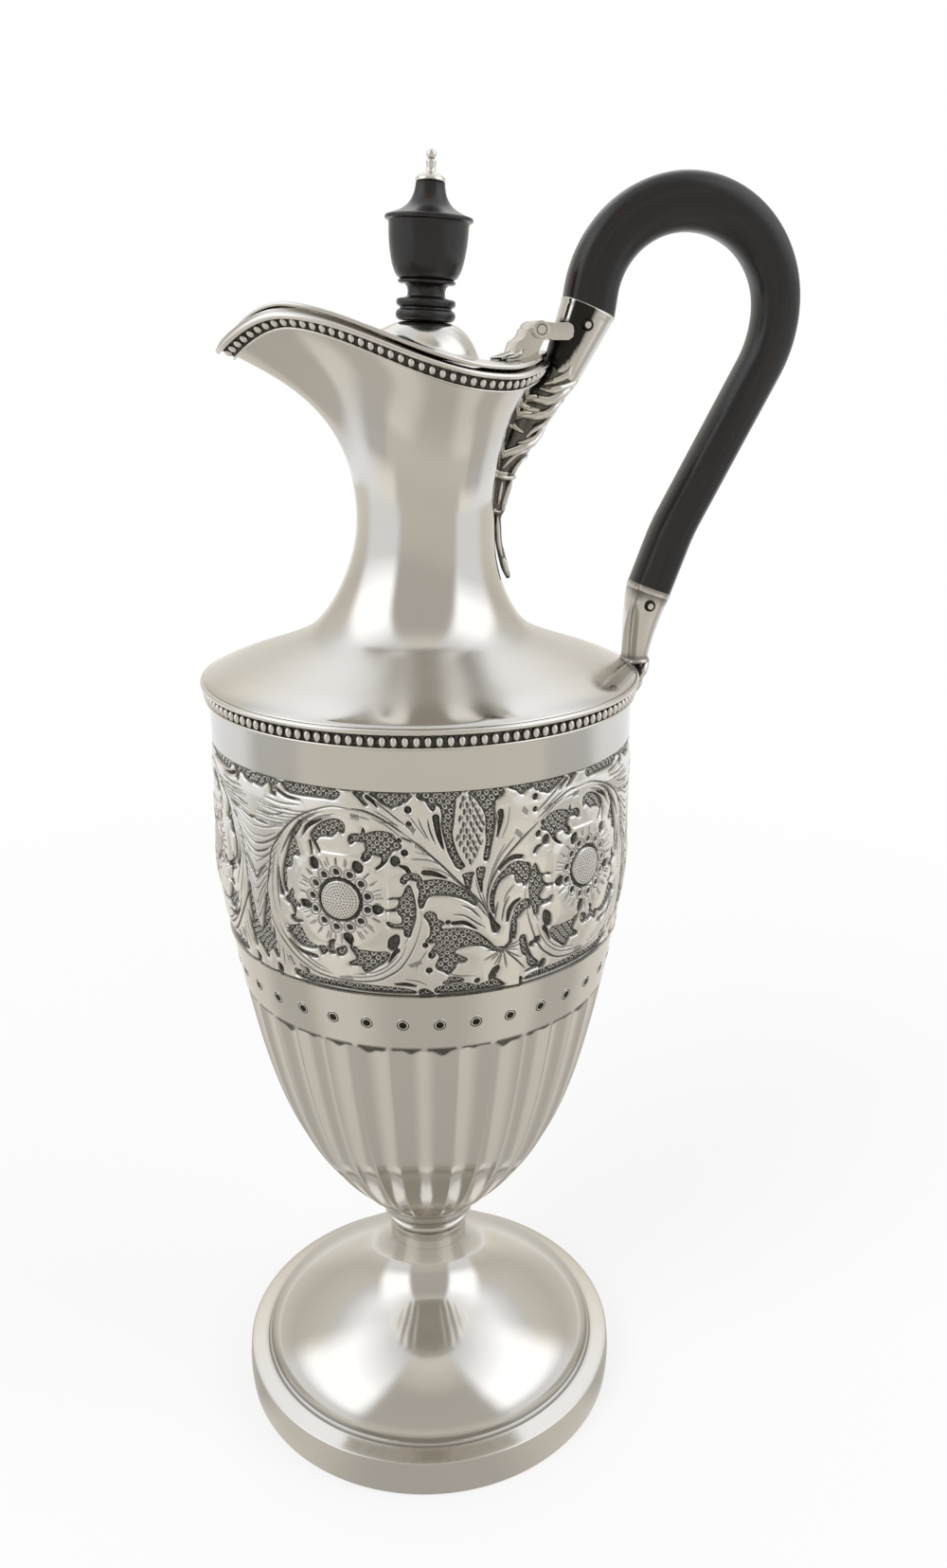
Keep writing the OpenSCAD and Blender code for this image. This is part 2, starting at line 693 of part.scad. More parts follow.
module lug_block(grow) {
    across(hinge_w + 2 * grow, [
        [lug_start - grow, lug_low - grow], [lug_side_end + grow - lug_cut, lug_low - grow],
        [lug_side_end + grow, lug_low - grow + lug_cut], [lug_side_end + grow, lug_low + grow + lug_t - lug_cut],
        [lug_side_end + grow - lug_cut, lug_low + lug_t + grow], [lug_start - grow, lug_low + lug_t + grow]]);
    across(grip_w * 0.7 + 2 * grow, [
        [lug_start - grow, lug_low - grow], [lug_end + grow, lug_low - grow],
        [lug_end + grow, lug_low + lug_t + grow], [lug_start - grow, lug_low + lug_t + grow]]);
}

module knuckle(r, w) {
    translate([hinge_at[0], 0, hinge_at[1]])
        rotate([90, 0, 0])
            cylinder(r = r, h = w, center = true);
}

module hinge_lug() {
    color(bright)
        difference() {
            union() {
                lug_block(0);
                intersection() {
                    union() {
                        knuckle(knuckle_r, hinge_w);
                        across(hinge_w, [
                            [hinge_at[0], lug_low + knuckle_r / 3], [lug_start + lug_cut, lug_low],
                            [lug_start + lug_cut, lug_low + lug_t], [hinge_at[0], lug_low + lug_t - knuckle_r / 3]]);
                    }
                    for (s = [-1, 1])
                        translate([hinge_at[0], s * (ear_in + hinge_ear_t / 2), hinge_at[1]])
                            cube([4 * lug_t, hinge_ear_t, 4 * lug_t], center = true);
                }
            }
            knuckle(pin_r + seat_gap / 2, hinge_w + overrun);
        }
}

module hinge_pin() {
    color(bright)
        knuckle(pin_r, hinge_w + side_gap);
}

// Lid
lid_sides = 60;
lid_short = 3 * sheet_t;
dome_rings = 7;
plate_rings = 6;
dome_x = neck_lean - 0.3 * sheet_t;
seat_r = urn_foot_r * 0.62;
seat_z = lip_z + lid_dome_h;
dome_base_z = lip_z;
dome_blend = lid_crown;

// How far the lip's inner edge stands over the line of the beads
function lip_top(a) = lip_strip_w * bead_line_share * sin(lip_lean(a)) + sheet_t * cos(lip_lean(a));
// Height of the lid's plate at a share of the way from the middle of the mouth to its edge
function plate_z(a, share) =
    lip_height(neck_lean - share * bead_r(a) * cos(a)) + lip_top(a) + lid_gap + lid_t + lid_crown * (1 - share * share);
// The dome's top, tilted so that the finial leans, and its round side
function dome_z(r, x) =
    dome_base_z - x * tan(finial_lean) * (1 - part_way(r, seat_r, lid_dome_r))
    + (seat_z - dome_base_z) * sqrt(1 - pow(part_way(r, seat_r, lid_dome_r), 2));
// The higher of two surfaces, with their meeting rounded
function blend_up(a, b, k) = let (h = max(0, k - abs(a - b)) / k) max(a, b) + h * h * k / 4;

function lid_r(a) = lip_edge(a)[0] - lid_short * pow(spout_bump(a), 2);
function lid_rim(a) = [neck_lean - lid_r(a) * cos(a), -lid_r(a) * sin(a)];
function dome_rim(a) = [dome_x - lid_dome_r * cos(a), -lid_dome_r * sin(a)];

function lid_point(k, a, down) =
    k <= dome_rings
    ? let (s = sin(90 * k / dome_rings), r = lid_dome_r * s,
           p = [dome_x - r * cos(a), -r * sin(a)], flat = plate_z(a, norm(p - [neck_lean, 0]) / lid_r(a)))
        [p[0], p[1], blend_up(dome_z(r, p[0] - dome_x), flat, dome_blend) - down]
    : let (s = (k - dome_rings) / plate_rings, p = mix(dome_rim(a), lid_rim(a), s))
        [p[0], p[1], plate_z(a, norm(p - [neck_lean, 0]) / lid_r(a)) - down];

function lid_ring(k, down) = [for (i = [0:lid_sides - 1]) lid_point(k, spout_angle(i, lid_sides), down)];

module lid_cover() {
    last = dome_rings + plate_rings;
    rings = concat([for (k = [1:last]) lid_ring(k, 0)], [for (k = [last:-1:1]) lid_ring(k, lid_t)]);
    points = concat([for (r = rings) each r], [[dome_x, 0, seat_z], [dome_x, 0, seat_z - lid_t]]);
    n = lid_sides;
    m = len(rings);
    side = [for (f = ring_faces(m, n)) if (!(max(f) >= (m - 1) * n && min(f) < n)) [f[0], f[2], f[1]]];
    caps = [for (i = [0:n - 1])
        let (j = (i + 1) % n)
        each [[m * n, j, i], [m * n + 1, (m - 1) * n + i, (m - 1) * n + j]]];
    color(silver)
        difference() {
            polyhedron(points, concat(side, caps), convexity = 8);
            on_finial(-lid_dome_r)
                cylinder(r = rod_r + seat_gap, h = 2 * lid_dome_r);
        }
}

// Arm from the lid to the middle knuckle, with a leaf-shaped foot on the lid
arm_w = 2 * (ear_in - side_gap);
arm_t = knuckle_r * 1.1;
foot_l = 4.6 * knuckle_r;
arm_foot_x = hinge_at[0] - knuckle_r * 0.9;

function on_lid(x) = plate_z(180, (x - neck_lean) / lid_r(180)) + side_gap;

module lid_hinge_arm() {
    heel_x = arm_foot_x + arm_t / 2;
    mid_x = arm_foot_x - 0.6 * foot_l;
    tip_x = arm_foot_x - foot_l;
    seat = on_lid(arm_foot_x);
    color(bright)
        difference() {
            union() {
                knuckle(knuckle_r, arm_w);
                across(arm_w, [
                    [arm_foot_x - arm_t, on_lid(arm_foot_x - arm_t)], [arm_foot_x, seat], [heel_x, on_lid(heel_x)],
                    [hinge_at[0] + knuckle_r * 0.7, hinge_at[1] - knuckle_r * 0.7],
                    [hinge_at[0] - knuckle_r * 0.95, hinge_at[1] - knuckle_r * 0.3]]);
                intersection() {
                    across(arm_w, [
                        [heel_x, on_lid(heel_x)], [arm_foot_x, seat + arm_t],
                        [arm_foot_x - arm_t, seat + arm_t * 0.8], [mid_x, on_lid(mid_x) + arm_t * 0.45],
                        [tip_x, on_lid(tip_x) + arm_t / 4], [tip_x, on_lid(tip_x)],
                        [mid_x, on_lid(mid_x)], [arm_foot_x, seat]]);
                    linear_extrude(2 * hinge_at[1])
                        polygon([
                            [arm_foot_x + arm_t, arm_w / 2], [arm_foot_x - arm_t, arm_w / 2],
                            [mid_x, arm_w / 3], [tip_x, arm_w / 12],
                            [tip_x, -arm_w / 12], [mid_x, -arm_w / 3],
                            [arm_foot_x - arm_t, -arm_w / 2], [arm_foot_x + arm_t, -arm_w / 2]]);
                }
            }
            knuckle(pin_r + run_gap, hinge_w + overrun);
        }
}

// Finial: an ebony urn clamped by a silver rod between its cap and a nut inside the lid
nut_r = 2.6 * rod_r;
nut_h = 1.8 * rod_r;
urn_top_r = urn_rim_r / 3;
cap_r = urn_top_r;
urn_side_share = [[0.333, 0.907], [0.449, 0.885], [0.544, 0.84], [0.64, 0.756], [0.697, 0.62], [0.7, 0.655],
    [0.728, 0.655]];

// Places a child on the finial's axis, at a height over the dome
module on_finial(h) {
    translate([dome_x, 0, seat_z])
        rotate([0, finial_lean, 0])
            translate([0, 0, h])
                children();
}

module finial_rod() {
    color(bright)
        on_finial(-lid_t - nut_h - seat_gap)
            cylinder(r = rod_r, h = urn_h + lid_t + nut_h + seat_gap + cap_h * 0.15);
}

module finial_nut() {
    color(bright)
        on_finial(-lid_t - nut_h - 2 * seat_gap)
            difference() {
                cylinder(r = nut_r, h = nut_h, $fn = 6);
                translate([0, 0, -overrun])
                    cylinder(r = rod_r + seat_gap / 2, h = nut_h + 2 * overrun);
            }
}

module finial_urn() {
    foot_ring = urn_foot_r * 0.19;
    bore_r = rod_r + seat_gap;
    color(ebony)
        on_finial(seat_gap)
            rotate_extrude()
                polygon(concat(
                    [[bore_r, urn_h], [urn_top_r, urn_h]],
                    [for (t = steps(10))
                        curve([urn_top_r, urn_h * 0.975], [urn_top_r * 1.15, urn_h * 0.82],
                            [urn_rim_r * 0.66, urn_h * 0.79], [urn_rim_r * 0.97, urn_h * 0.755], t)],
                    [[urn_rim_r, urn_h * 0.745], [urn_rim_r, urn_h * 0.705], [urn_rim_r * 0.93, urn_h * 0.685]],
                    [for (p = urn_side_share) [urn_rim_r * p[1], urn_h * (1 - p[0])]],
                    [[urn_waist_r * 1.12, urn_h * 0.255]],
                    [for (t = steps(6))
                        curve([urn_waist_r, urn_h * 0.22], [urn_waist_r, urn_h * 0.18],
                            [urn_waist_r * 1.1, urn_h * 0.17], [urn_foot_r * 0.85, urn_h * 0.165], t)],
                    [[urn_foot_r * 0.98, urn_h * 0.155], [urn_foot_r * 0.98, urn_h * 0.115],
                     [urn_foot_r * 0.9, urn_h * 0.1]],
                    [for (t = steps(8)) [urn_foot_r - foot_ring, foot_ring] + foot_ring * [sin(180 * t), cos(180 * t)]],
                    [[bore_r, 0]]));
}

module finial_cap() {
    neck = rod_r * 0.6;
    color(bright)
        on_finial(urn_h + 2 * seat_gap)
            difference() {
                union() {
                    rotate_extrude()
                        polygon(concat(
                            [[0, 0]],
                            [for (t = steps(8))
                                curve([cap_r, 0], [cap_r, cap_h * 0.16], [cap_r * 0.7, cap_h * 0.24],
                                    [neck * 2, cap_h * 0.28], t)],
                            [[neck * 2.4, cap_h * 0.32], [neck * 2.4, cap_h * 0.38], [neck, cap_h * 0.44],
                             [neck, cap_h - knob_r], [0, cap_h - knob_r]]));
                    translate([0, 0, cap_h - knob_r])
                        sphere(knob_r);
                }
                translate([0, 0, -overrun])
                    cylinder(r = rod_r + seat_gap, h = overrun + cap_h * 0.2);
            }
}

foot_rim_band();
foot_dome();
stem_collar();
body_bowl();
shoulder_border();
shoulder_cover();
neck_and_spout();
lip_border();
upper_socket();
upper_socket_pin();
neck_leaf();
handle_grip();
lower_socket();
lower_socket_pin();
shoulder_leaf();
hinge_lug();
hinge_pin();
lid_cover();
lid_hinge_arm();
finial_rod();
finial_nut();
finial_urn();
finial_cap();
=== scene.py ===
"""Looks of the lidded silver ewer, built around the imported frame.

Lengths in the shape code are in millimetres and angles in degrees, in the part's own frame.
Angles round the mouth are measured from the spout, and other angles from +X, counter-clockwise.
"""
import math

import bmesh
import bpy
import numpy as np
from mathutils import Euler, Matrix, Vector

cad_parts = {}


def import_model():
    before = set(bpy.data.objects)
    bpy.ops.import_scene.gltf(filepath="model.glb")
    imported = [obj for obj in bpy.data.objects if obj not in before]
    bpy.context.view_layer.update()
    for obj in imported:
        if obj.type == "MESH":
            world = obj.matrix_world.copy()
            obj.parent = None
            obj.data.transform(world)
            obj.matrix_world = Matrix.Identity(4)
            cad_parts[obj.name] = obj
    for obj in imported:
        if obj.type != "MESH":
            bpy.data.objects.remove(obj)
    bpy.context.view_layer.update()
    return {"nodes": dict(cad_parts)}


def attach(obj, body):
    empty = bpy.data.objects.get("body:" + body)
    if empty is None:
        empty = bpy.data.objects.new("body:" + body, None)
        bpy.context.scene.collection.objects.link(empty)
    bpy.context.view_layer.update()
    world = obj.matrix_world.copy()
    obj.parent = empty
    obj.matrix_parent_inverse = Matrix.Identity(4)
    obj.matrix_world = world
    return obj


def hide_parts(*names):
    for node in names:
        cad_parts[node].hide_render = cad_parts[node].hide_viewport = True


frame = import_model()

MM = 0.001
TAU = 2 * math.pi

# Sizes that the pieces share
SHEET = 1.0
FOOT_R = 53.0
FOOT_SIDES = 224
BAND_H = 11.3
LEDGE = (47.8, 12.4)
DOME_TOP = (10.9, 44.8)
BOWL_Z = 58.0
COLLAR_R = 14.5
FRIEZE_Z = 147.0
FRIEZE_TOP = 197.6
FRIEZE_R = 50.6
BAND_R = 52.5
BORDER_Z = 207.1
SHOULDER_Z = 212.0
SHOULDER_R = 53.45
NECK_Z = 222.0
ROOT_R = 28.6
WAIST_Z = 250.0
WAIST_R = 17.4
LIP_Z = 281.0
LEAN = 2.4
HINGE = (27.9, 292.2)
KNUCKLE_R = 2.0
DOME_X = 2.1
SEAT_Z = 293.9
FINIAL_LEAN = 3.0
GRIP_W = 11.6
PIN_DEEP = 4.2
SOCKET_SIDE = 6.31
UPPER_JOINT = (40.8, 297.1)
UPPER_TILT = 22.0
LOWER_JOINT = (58.78, 230.9)
LOWER_TILT = 20.0
LEAF_TILT = 33.0

# The photograph's camera stands at this angle clockwise from +X
VIEW_AT = 98


# Arithmetic
def part_way(x, a, b):
    """How far x is from a to b, from 0 to 1."""
    return np.clip((np.asarray(x, float) - a) / (b - a), 0, 1)


def ease(x, a=0.0, b=1.0):
    """A smooth step from 0 at a to 1 at b."""
    t = part_way(x, a, b)
    return t * t * (3 - 2 * t)


def mix(a, b, t):
    """a where t is 0 and b where it is 1."""
    return a + (b - a) * t


def cos_d(a):
    return np.cos(np.radians(a))


def sin_d(a):
    return np.sin(np.radians(a))


def unit(v):
    """Vectors at length one."""
    return v / np.linalg.norm(v, axis=-1, keepdims=True)


def bezier(points, t):
    """Points of a cubic curve with four control points."""
    a, b, c, d = (np.asarray(p, float) for p in points)
    t = np.asarray(t, float)[..., None]
    return (1 - t) ** 3 * a + 3 * t * (1 - t) ** 2 * b + 3 * t * t * (1 - t) * c + t**3 * d


def bezier_way(points, t):
    """Its direction, of length one."""
    a, b, c, d = (np.asarray(p, float) for p in points)
    t = np.asarray(t, float)[..., None]
    return unit((1 - t) ** 2 * (b - a) + 2 * t * (1 - t) * (c - b) + t * t * (d - c))


def along(points, t, off=0.0):
    """A point of the curve, moved off it to its outer side."""
    way = bezier_way(points, t)
    return bezier(points, t) + off * np.stack([way[..., 1], -way[..., 0]], -1)


def curve(points, n):
    """n points of a cubic curve, as a list."""
    return bezier(points, np.linspace(0, 1, n)).tolist()


def oval_arc(x, z, half_x, half_z, start, end, n):
    """n points round an ellipse, as a list, at angles from its top towards +X."""
    return [(x + half_x * sin_d(t), z + half_z * cos_d(t)) for t in np.linspace(start, end, n)]


def through(points, per_span=8, closed=False):
    """A smooth line through given points, of two or more coordinates each."""
    p = np.asarray(points, float)
    n = len(p)
    if closed:
        around = [p[(np.arange(n) + k) % n] for k in (-1, 0, 1, 2)]
    else:
        ends = np.vstack([2 * p[0] - p[1], p, 2 * p[-1] - p[-2]])
        around = [ends[k : k + n - 1] for k in range(4)]
    a, b, c, d = (q[:, None, :] for q in around)
    t = (np.arange(per_span) / per_span)[None, :, None]
    bend, twist = 2 * a - 5 * b + 4 * c - d, 3 * b - a - 3 * c + d
    line = 0.5 * (2 * b + (c - a) * t + bend * t**2 + twist * t**3)
    line = line.reshape(-1, p.shape[1])
    return line if closed else np.vstack([line, p[-1]])


def run_along(line):
    """The way along a line to each of its points."""
    return np.concatenate([[0], np.cumsum(np.linalg.norm(np.diff(line, axis=0), axis=1))])


def spread(values, s):
    """Values given at even steps, read at shares s of the way."""
    return np.interp(s, np.linspace(0, 1, len(values)), values)


def spaced(line, n):
    """The same line as n points an equal way apart."""
    line = np.asarray(line, float)
    run = run_along(line)
    at = np.linspace(0, run[-1], n)
    return np.stack([np.interp(at, run, column) for column in line.T], 1)


# Shells: (points, faces, dark share of each point)
def ring_faces(rings, n, wrap):
    k = np.arange(rings if wrap else rings - 1)[:, None]
    i = np.arange(n)[None, :]
    up = (k + 1) % rings
    quads = [k * n + i, k * n + (i + 1) % n, up * n + (i + 1) % n, up * n + i]
    return np.stack([np.broadcast_to(q, (len(k), n)) for q in quads], -1).reshape(-1, 4).tolist()


def shell(points, faces, dark):
    points = np.asarray(points, float).reshape(-1, 3)
    return points, faces, np.broadcast_to(np.asarray(dark, float), (len(points),)).copy()


def tube(rings, dark=0.0, wrap=True, caps=False):
    """A surface through rings of points, given as an array of rings by points by three."""
    rings = np.asarray(rings, float)
    m, n = rings.shape[:2]
    faces = ring_faces(m, n, wrap)
    if caps:
        faces.append(list(range(n))[::-1])
        faces.append([(m - 1) * n + i for i in range(n)])
    if np.ndim(dark) == 1:
        dark = np.repeat(dark, n)
    return shell(rings, faces, np.ravel(dark))


def lathe(profile, sides, dark=0.0):
    """A closed profile of (radius, height) turned about the axis. It goes up outside and down inside."""
    profile = np.asarray(profile, float)
    a = np.arange(sides) * TAU / sides
    r, z = profile[:, :1], profile[:, 1:]
    rings = np.stack([r * np.cos(a), r * np.sin(a), z + 0 * a], -1)
    return tube(rings, dark)


def join(shells):
    """Several shells as one."""
    points, faces, dark, start = [], [], [], 0
    for p, f, d in shells:
        points.append(p)
        dark.append(d)
        faces += [[i + start for i in face] for face in f]
        start += len(p)
    return np.vstack(points), faces, np.concatenate(dark)


def moved(one, matrix, offset):
    """A shell turned by a matrix and moved."""
    points, faces, dark = one
    return points @ np.asarray(matrix, float).T + np.asarray(offset, float), faces, dark


def sideways(one, side, x, y, z):
    """A shell turned to face to one side of the handle's plane, at y on that side."""
    return moved(one, [[1, 0, 0], [0, 0, side], [0, -side, 0]], (x, side * y, z))


def out_and_round(a):
    """Directions away from the axis and round it, at an angle in radians."""
    return np.array([math.cos(a), math.sin(a), 0]), np.array([-math.sin(a), math.cos(a), 0])


def ellipsoid(sides, rows, shade_below=0.0):
    """A ball of radius one, with painted shade from its middle down, as dark as the given share."""
    lat = np.linspace(-90, 90, rows + 1)[1:-1]
    a = np.arange(sides) * 360 / sides
    flat = cos_d(lat)[:, None]
    rings = np.stack([flat * cos_d(a), flat * sin_d(a), sin_d(lat)[:, None] + 0 * a], -1)
    faces = ring_faces(len(lat), sides, False)
    points = np.vstack([rings.reshape(-1, 3), [[0, 0, -1], [0, 0, 1]]])
    low, high = len(points) - 2, len(points) - 1
    last = (len(lat) - 1) * sides
    faces += [[(i + 1) % sides, i, low] for i in range(sides)]
    faces += [[last + i, last + (i + 1) % sides, high] for i in range(sides)]
    return shell(points, faces, np.interp(points[:, 2], [-0.1, 0.45], [shade_below, 0]))


def oval(n, half_x, half_y, power=2.0):
    """A rounded outline: an ellipse at power 2, squarer above it."""
    a = np.arange(n) * TAU / n
    c, s = np.cos(a), np.sin(a)
    x = half_x * np.sign(c) * np.abs(c) ** (2 / power)
    return np.stack([x, half_y * np.sign(s) * np.abs(s) ** (2 / power)], 1)


def in_plane(centre, along_x, outline):
    """An outline across the handle's plane: its first coordinate runs along along_x, its second to -Y."""
    x, z = (centre[k] + outline[:, 0] * along_x[k] for k in (0, 1))
    return np.stack([x, -outline[:, 1], z], 1)


def blade(path, half_w, half_t, out, sides, dark):
    """A leaf's lobe: oval sections along a path, wide across it and thin along the direction out, with
    painted shade on its side away from out.
    """
    path = spaced(through(path, 6), 22)
    s = np.linspace(0, 1, len(path))
    way = unit(np.gradient(path, axis=0))
    out = np.asarray(out, float)
    if out.ndim == 2:
        out = np.stack([spread(column, s) for column in out.T], 1)
    out = unit(out - (out * way).sum(1)[:, None] * way)
    wide = spread(half_w, s)[:, None] * np.cross(way, out)
    thick = spread(half_t, s)[:, None] * out
    section = oval(sides, 1, 1)
    rings = path[:, None] + section[None, :, :1] * wide[:, None] + section[None, :, 1:] * thick[:, None]
    # Painted shade on the side of the lobe away from out.
    tone = np.repeat(np.interp(section[:, 1], [-0.4, 0.5], [1.0, 0.0])[None], len(path), 0) * dark
    return tube(rings[:, ::-1], tone[:, ::-1], wrap=False, caps=True)


# Pieces
def linked(ob):
    """The object, put in the scene."""
    bpy.context.scene.collection.objects.link(ob)
    return ob


def solid(name, one, body, slot, finish, nodes=(), edge=35, weld=0.0, bevel=0.0, normals=None, **vectors):
    """Makes a piece from a shell, and says what it rides on and stands for."""
    points, faces, dark = one
    mesh = bpy.data.meshes.new(name)
    mesh.from_pydata((points * MM).tolist(), [], faces)
    # The darkness of each point, kept for the material: tarnish in places, painted shade in others.
    mesh.attributes.new("tarnish_and_shade", "FLOAT", "POINT").data.foreach_set("value", dark.astype(np.float32))
    for key, values in vectors.items():
        layer = mesh.attributes.new(key, "FLOAT_VECTOR", "POINT")
        layer.data.foreach_set("vector", np.asarray(values, np.float32).ravel())
    if weld or bevel:
        work = bmesh.new()
        work.from_mesh(mesh)
        if weld:
            bmesh.ops.remove_doubles(work, verts=work.verts, dist=weld * MM)
        if bevel:
            sharp = [e for e in work.edges if e.is_manifold and e.calc_face_angle(0) > math.radians(edge)]
            bmesh.ops.bevel(work, geom=sharp, offset=bevel * MM, segments=3, profile=0.5, affect="EDGES",
                            clamp_overlap=True)
        bmesh.ops.recalc_face_normals(work, faces=work.faces)
        work.to_mesh(mesh)
        work.free()
    mesh.shade_smooth()
    if normals is None:
        mesh.set_sharp_from_angle(angle=math.radians(edge))
    else:
        mesh.normals_split_custom_set_from_vertices(normals.tolist())
    mesh.materials.append(finish)
    ob = linked(bpy.data.objects.new(name, mesh))
    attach(ob, body)
    if nodes:
        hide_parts(*nodes)
    return ob


# Materials
class Nodes:
    """The nodes of a material or a world, with short calls to add and link them."""

    def __init__(self, owner, kind="Material"):
        owner.use_nodes = True
        self.owner = owner
        self.tree = owner.node_tree
        self.tree.nodes.clear()
        self.out = self.add("Output" + kind)

    def add(self, kind, **values):
        node = self.tree.nodes.new("ShaderNode" + kind)
        for key, value in values.items():
            if hasattr(node, key):
                setattr(node, key, value)
            else:
                node.inputs[key.replace("_", " ")].default_value = value
        return node

    def link(self, source, target):
        self.tree.links.new(source, target)

    def joined(self, node, *sources):
        """Links the sources to the node's first inputs and gives its first output."""
        for source, target in zip(sources, node.inputs):
            self.link(source, target)
        return node.outputs[0]

    def end(self, shader):
        """Ends the tree with a shader, and gives back what the tree belongs to."""
        self.link(shader, self.out.inputs[0])
        return self.owner

    def attribute(self, name, output="Fac"):
        return self.add("Attribute", attribute_name=name).outputs[output]

    def place(self, scale, attribute=None):
        """Coordinates in metres, or from a mesh's own attribute, stretched by a scale for each axis."""
        if attribute:
            start = self.attribute(attribute, "Vector")
        else:
            start = self.add("TexCoord").outputs["Object"]
        return self.joined(self.add("Mapping", Scale=scale), start)

    def noise(self, place, scale, detail, rough=0.55):
        return self.joined(self.add("TexNoise", Scale=scale, Detail=detail, Roughness=rough), place)

    def ramp(self, source, stops):
        node = self.add("ValToRGB")
        ramp = node.color_ramp
        while len(ramp.elements) < len(stops):
            ramp.elements.new(0.5)
        for element, (at, colour) in zip(ramp.elements, stops):
            element.position = at
            element.color = (*colour, 1)
        return self.joined(node, source)

    def between(self, source, low, high):
        """source, from 0 to 1, as a value from low to high."""
        return self.joined(self.add("MapRange", To_Min=low, To_Max=high), source)

    def math(self, operation, a, b, **values):
        return self.joined(self.add("Math", operation=operation, **values), a, b)

    def blend(self, amount, a, b, kind="RGBA"):
        """What is linked to a where amount is 0, and the plain value b where it is 1."""
        node = self.add("Mix", data_type=kind)
        self.link(amount, node.inputs["Factor"])
        self.link(a, node.inputs["A"])
        node.inputs["B"].default_value = b
        return node.outputs["Result"]

    def bump(self, height, strength, distance, under=None):
        node = self.add("Bump", Strength=strength, Distance=distance)
        self.link(height, node.inputs["Height"])
        if under:
            self.link(under, node.inputs["Normal"])
        return node.outputs["Normal"]


# Dark colour for tarnish, also used as painted shade in channels, on undersides and down one side of a
# socket.
TARNISH_AND_SHADE = (0.030, 0.028, 0.024, 1)
TARNISH_AND_SHADE_ROUGH = 0.42
RUBBED_ROUGH = 0.27


def punch_marks(n):
    """1 on the rings that the punch left in the sunk ground, and 0 elsewhere."""
    spot = n.attribute("punch", "Vector")
    cell = n.add("TexVoronoi", voronoi_dimensions="2D", Scale=1.0, Randomness=0.0)
    n.link(spot, cell.inputs["Vector"])
    black, white = (0, 0, 0), (1, 1, 1)
    shine = n.ramp(cell.outputs["Distance"], [(0.16, black), (0.24, white), (0.37, white), (0.46, black)])
    parts = n.add("SeparateXYZ")
    n.link(spot, parts.inputs[0])
    return n.math("MULTIPLY", shine, parts.outputs["Z"])


def silver(name, tone, rough_low, rough_high, wear, punched=False):
    """Polished silver: a faint haze, hairline scratches, and a dark colour wherever the mesh's darkness
    attribute says so: tarnish in places, painted shade in others.
    """
    n = Nodes(bpy.data.materials.new(name))
    shader = n.add("BsdfPrincipled", Metallic=1.0)
    place = n.place((1, 1, 1))
    haze = n.noise(place, 55, 3)
    hairs = n.noise(n.place((900, 900, 60)), 1.0, 2, 0.7)
    patches = n.noise(place, 16, 2)
    clean = n.ramp(patches, [(0.3, tuple(c * 0.965 for c in tone)), (0.7, tone)])
    dark = n.attribute("tarnish_and_shade")
    if punched:
        marks = punch_marks(n)
        # Painted highlight: the punch rings are kept lighter in the dark ground.
        dark = n.math("MULTIPLY", dark, n.between(marks, 1.0, 0.22))
    spots = n.between(n.noise(place, 2600, 2), 0.72, 1.18)
    # The share of the dark colour: tarnish in places, painted shade in others.
    depth = n.math("MULTIPLY", dark, spots, use_clamp=True)
    n.link(n.blend(depth, clean, TARNISH_AND_SHADE), shader.inputs["Base Color"])
    rough = n.between(haze, rough_low, rough_high)
    rough = n.blend(n.attribute("rubbed"), rough, RUBBED_ROUGH, "FLOAT")
    rough = n.blend(depth, rough, TARNISH_AND_SHADE_ROUGH, "FLOAT")
    n.link(rough, shader.inputs["Roughness"])
    dents = n.bump(n.noise(place, 70, 2), wear, 0.0006)
    normal = n.bump(hairs, wear, 0.00002, dents)
    if punched:
        normal = n.bump(marks, 0.5, 0.0001, normal)
    n.link(normal, shader.inputs["Normal"])
    return n.end(shader.outputs[0])


def ebony(name, attribute):
    """Dark oiled wood: fine pores along the grain, a little red in the lighter streaks, and a satin rub."""
    n = Nodes(bpy.data.materials.new(name))
    shader = n.add("BsdfPrincipled", Specular_IOR_Level=0.45)
    place = n.place((1, 1, 1), attribute)
    lengthwise = n.place((900, 900, 45), attribute)
    streaks = n.noise(lengthwise, 0.45, 5, 0.6)
    pores = n.noise(lengthwise, 3.0, 3, 0.7)
    colour = n.ramp(streaks, [(0.30, (0.0050, 0.0042, 0.0038)), (0.55, (0.0090, 0.0070, 0.0062)),
                              (0.72, (0.0220, 0.0125, 0.0090)), (0.85, (0.0130, 0.0090, 0.0075))])
    n.link(colour, shader.inputs["Base Color"])
    n.link(n.between(n.noise(place, 90, 3), 0.15, 0.25), shader.inputs["Roughness"])
    n.link(n.bump(pores, 0.35, 0.00012), shader.inputs["Normal"])
    return n.end(shader.outputs[0])


POLISHED = silver("polished_silver", (0.640, 0.612, 0.566), 0.07, 0.14, 0.10)
# Chased silver is given a lighter colour than polished: painted light for the brighter look of its matte
# surface.
CHASED = silver("chased_silver", (0.760, 0.730, 0.680), 0.17, 0.27, 0.12, punched=True)
BEADED = silver("bead_silver", (0.700, 0.670, 0.620), 0.16, 0.24, 0.08)
CAST = silver("cast_silver", (0.660, 0.630, 0.580), 0.08, 0.15, 0.14)
GRIP_WOOD = ebony("ebony_grip", "grain")
URN_WOOD = ebony("ebony_urn", None)


# Foot and collar
def foot_band():
    """Upright band with a slight bulge and a crisp upper edge."""
    top, foot = BAND_H - 0.6, 0.35
    out = [(FOOT_R - 0.5, 0.0), (FOOT_R + 0.02, foot)]
    out += [(FOOT_R + 0.38 * math.sin(math.pi * t), foot + 9.9 * t) for t in np.linspace(0.08, 0.98, 12)]
    out += oval_arc(FOOT_R - 0.4, top - 0.4, 0.42, 0.4, 85, 5, 7)
    inner = FOOT_R - 2.2
    out += [(inner, top + 0.13), (inner, 0.3), (inner + 0.3, 0.0)]
    return lathe(out, FOOT_SIDES)


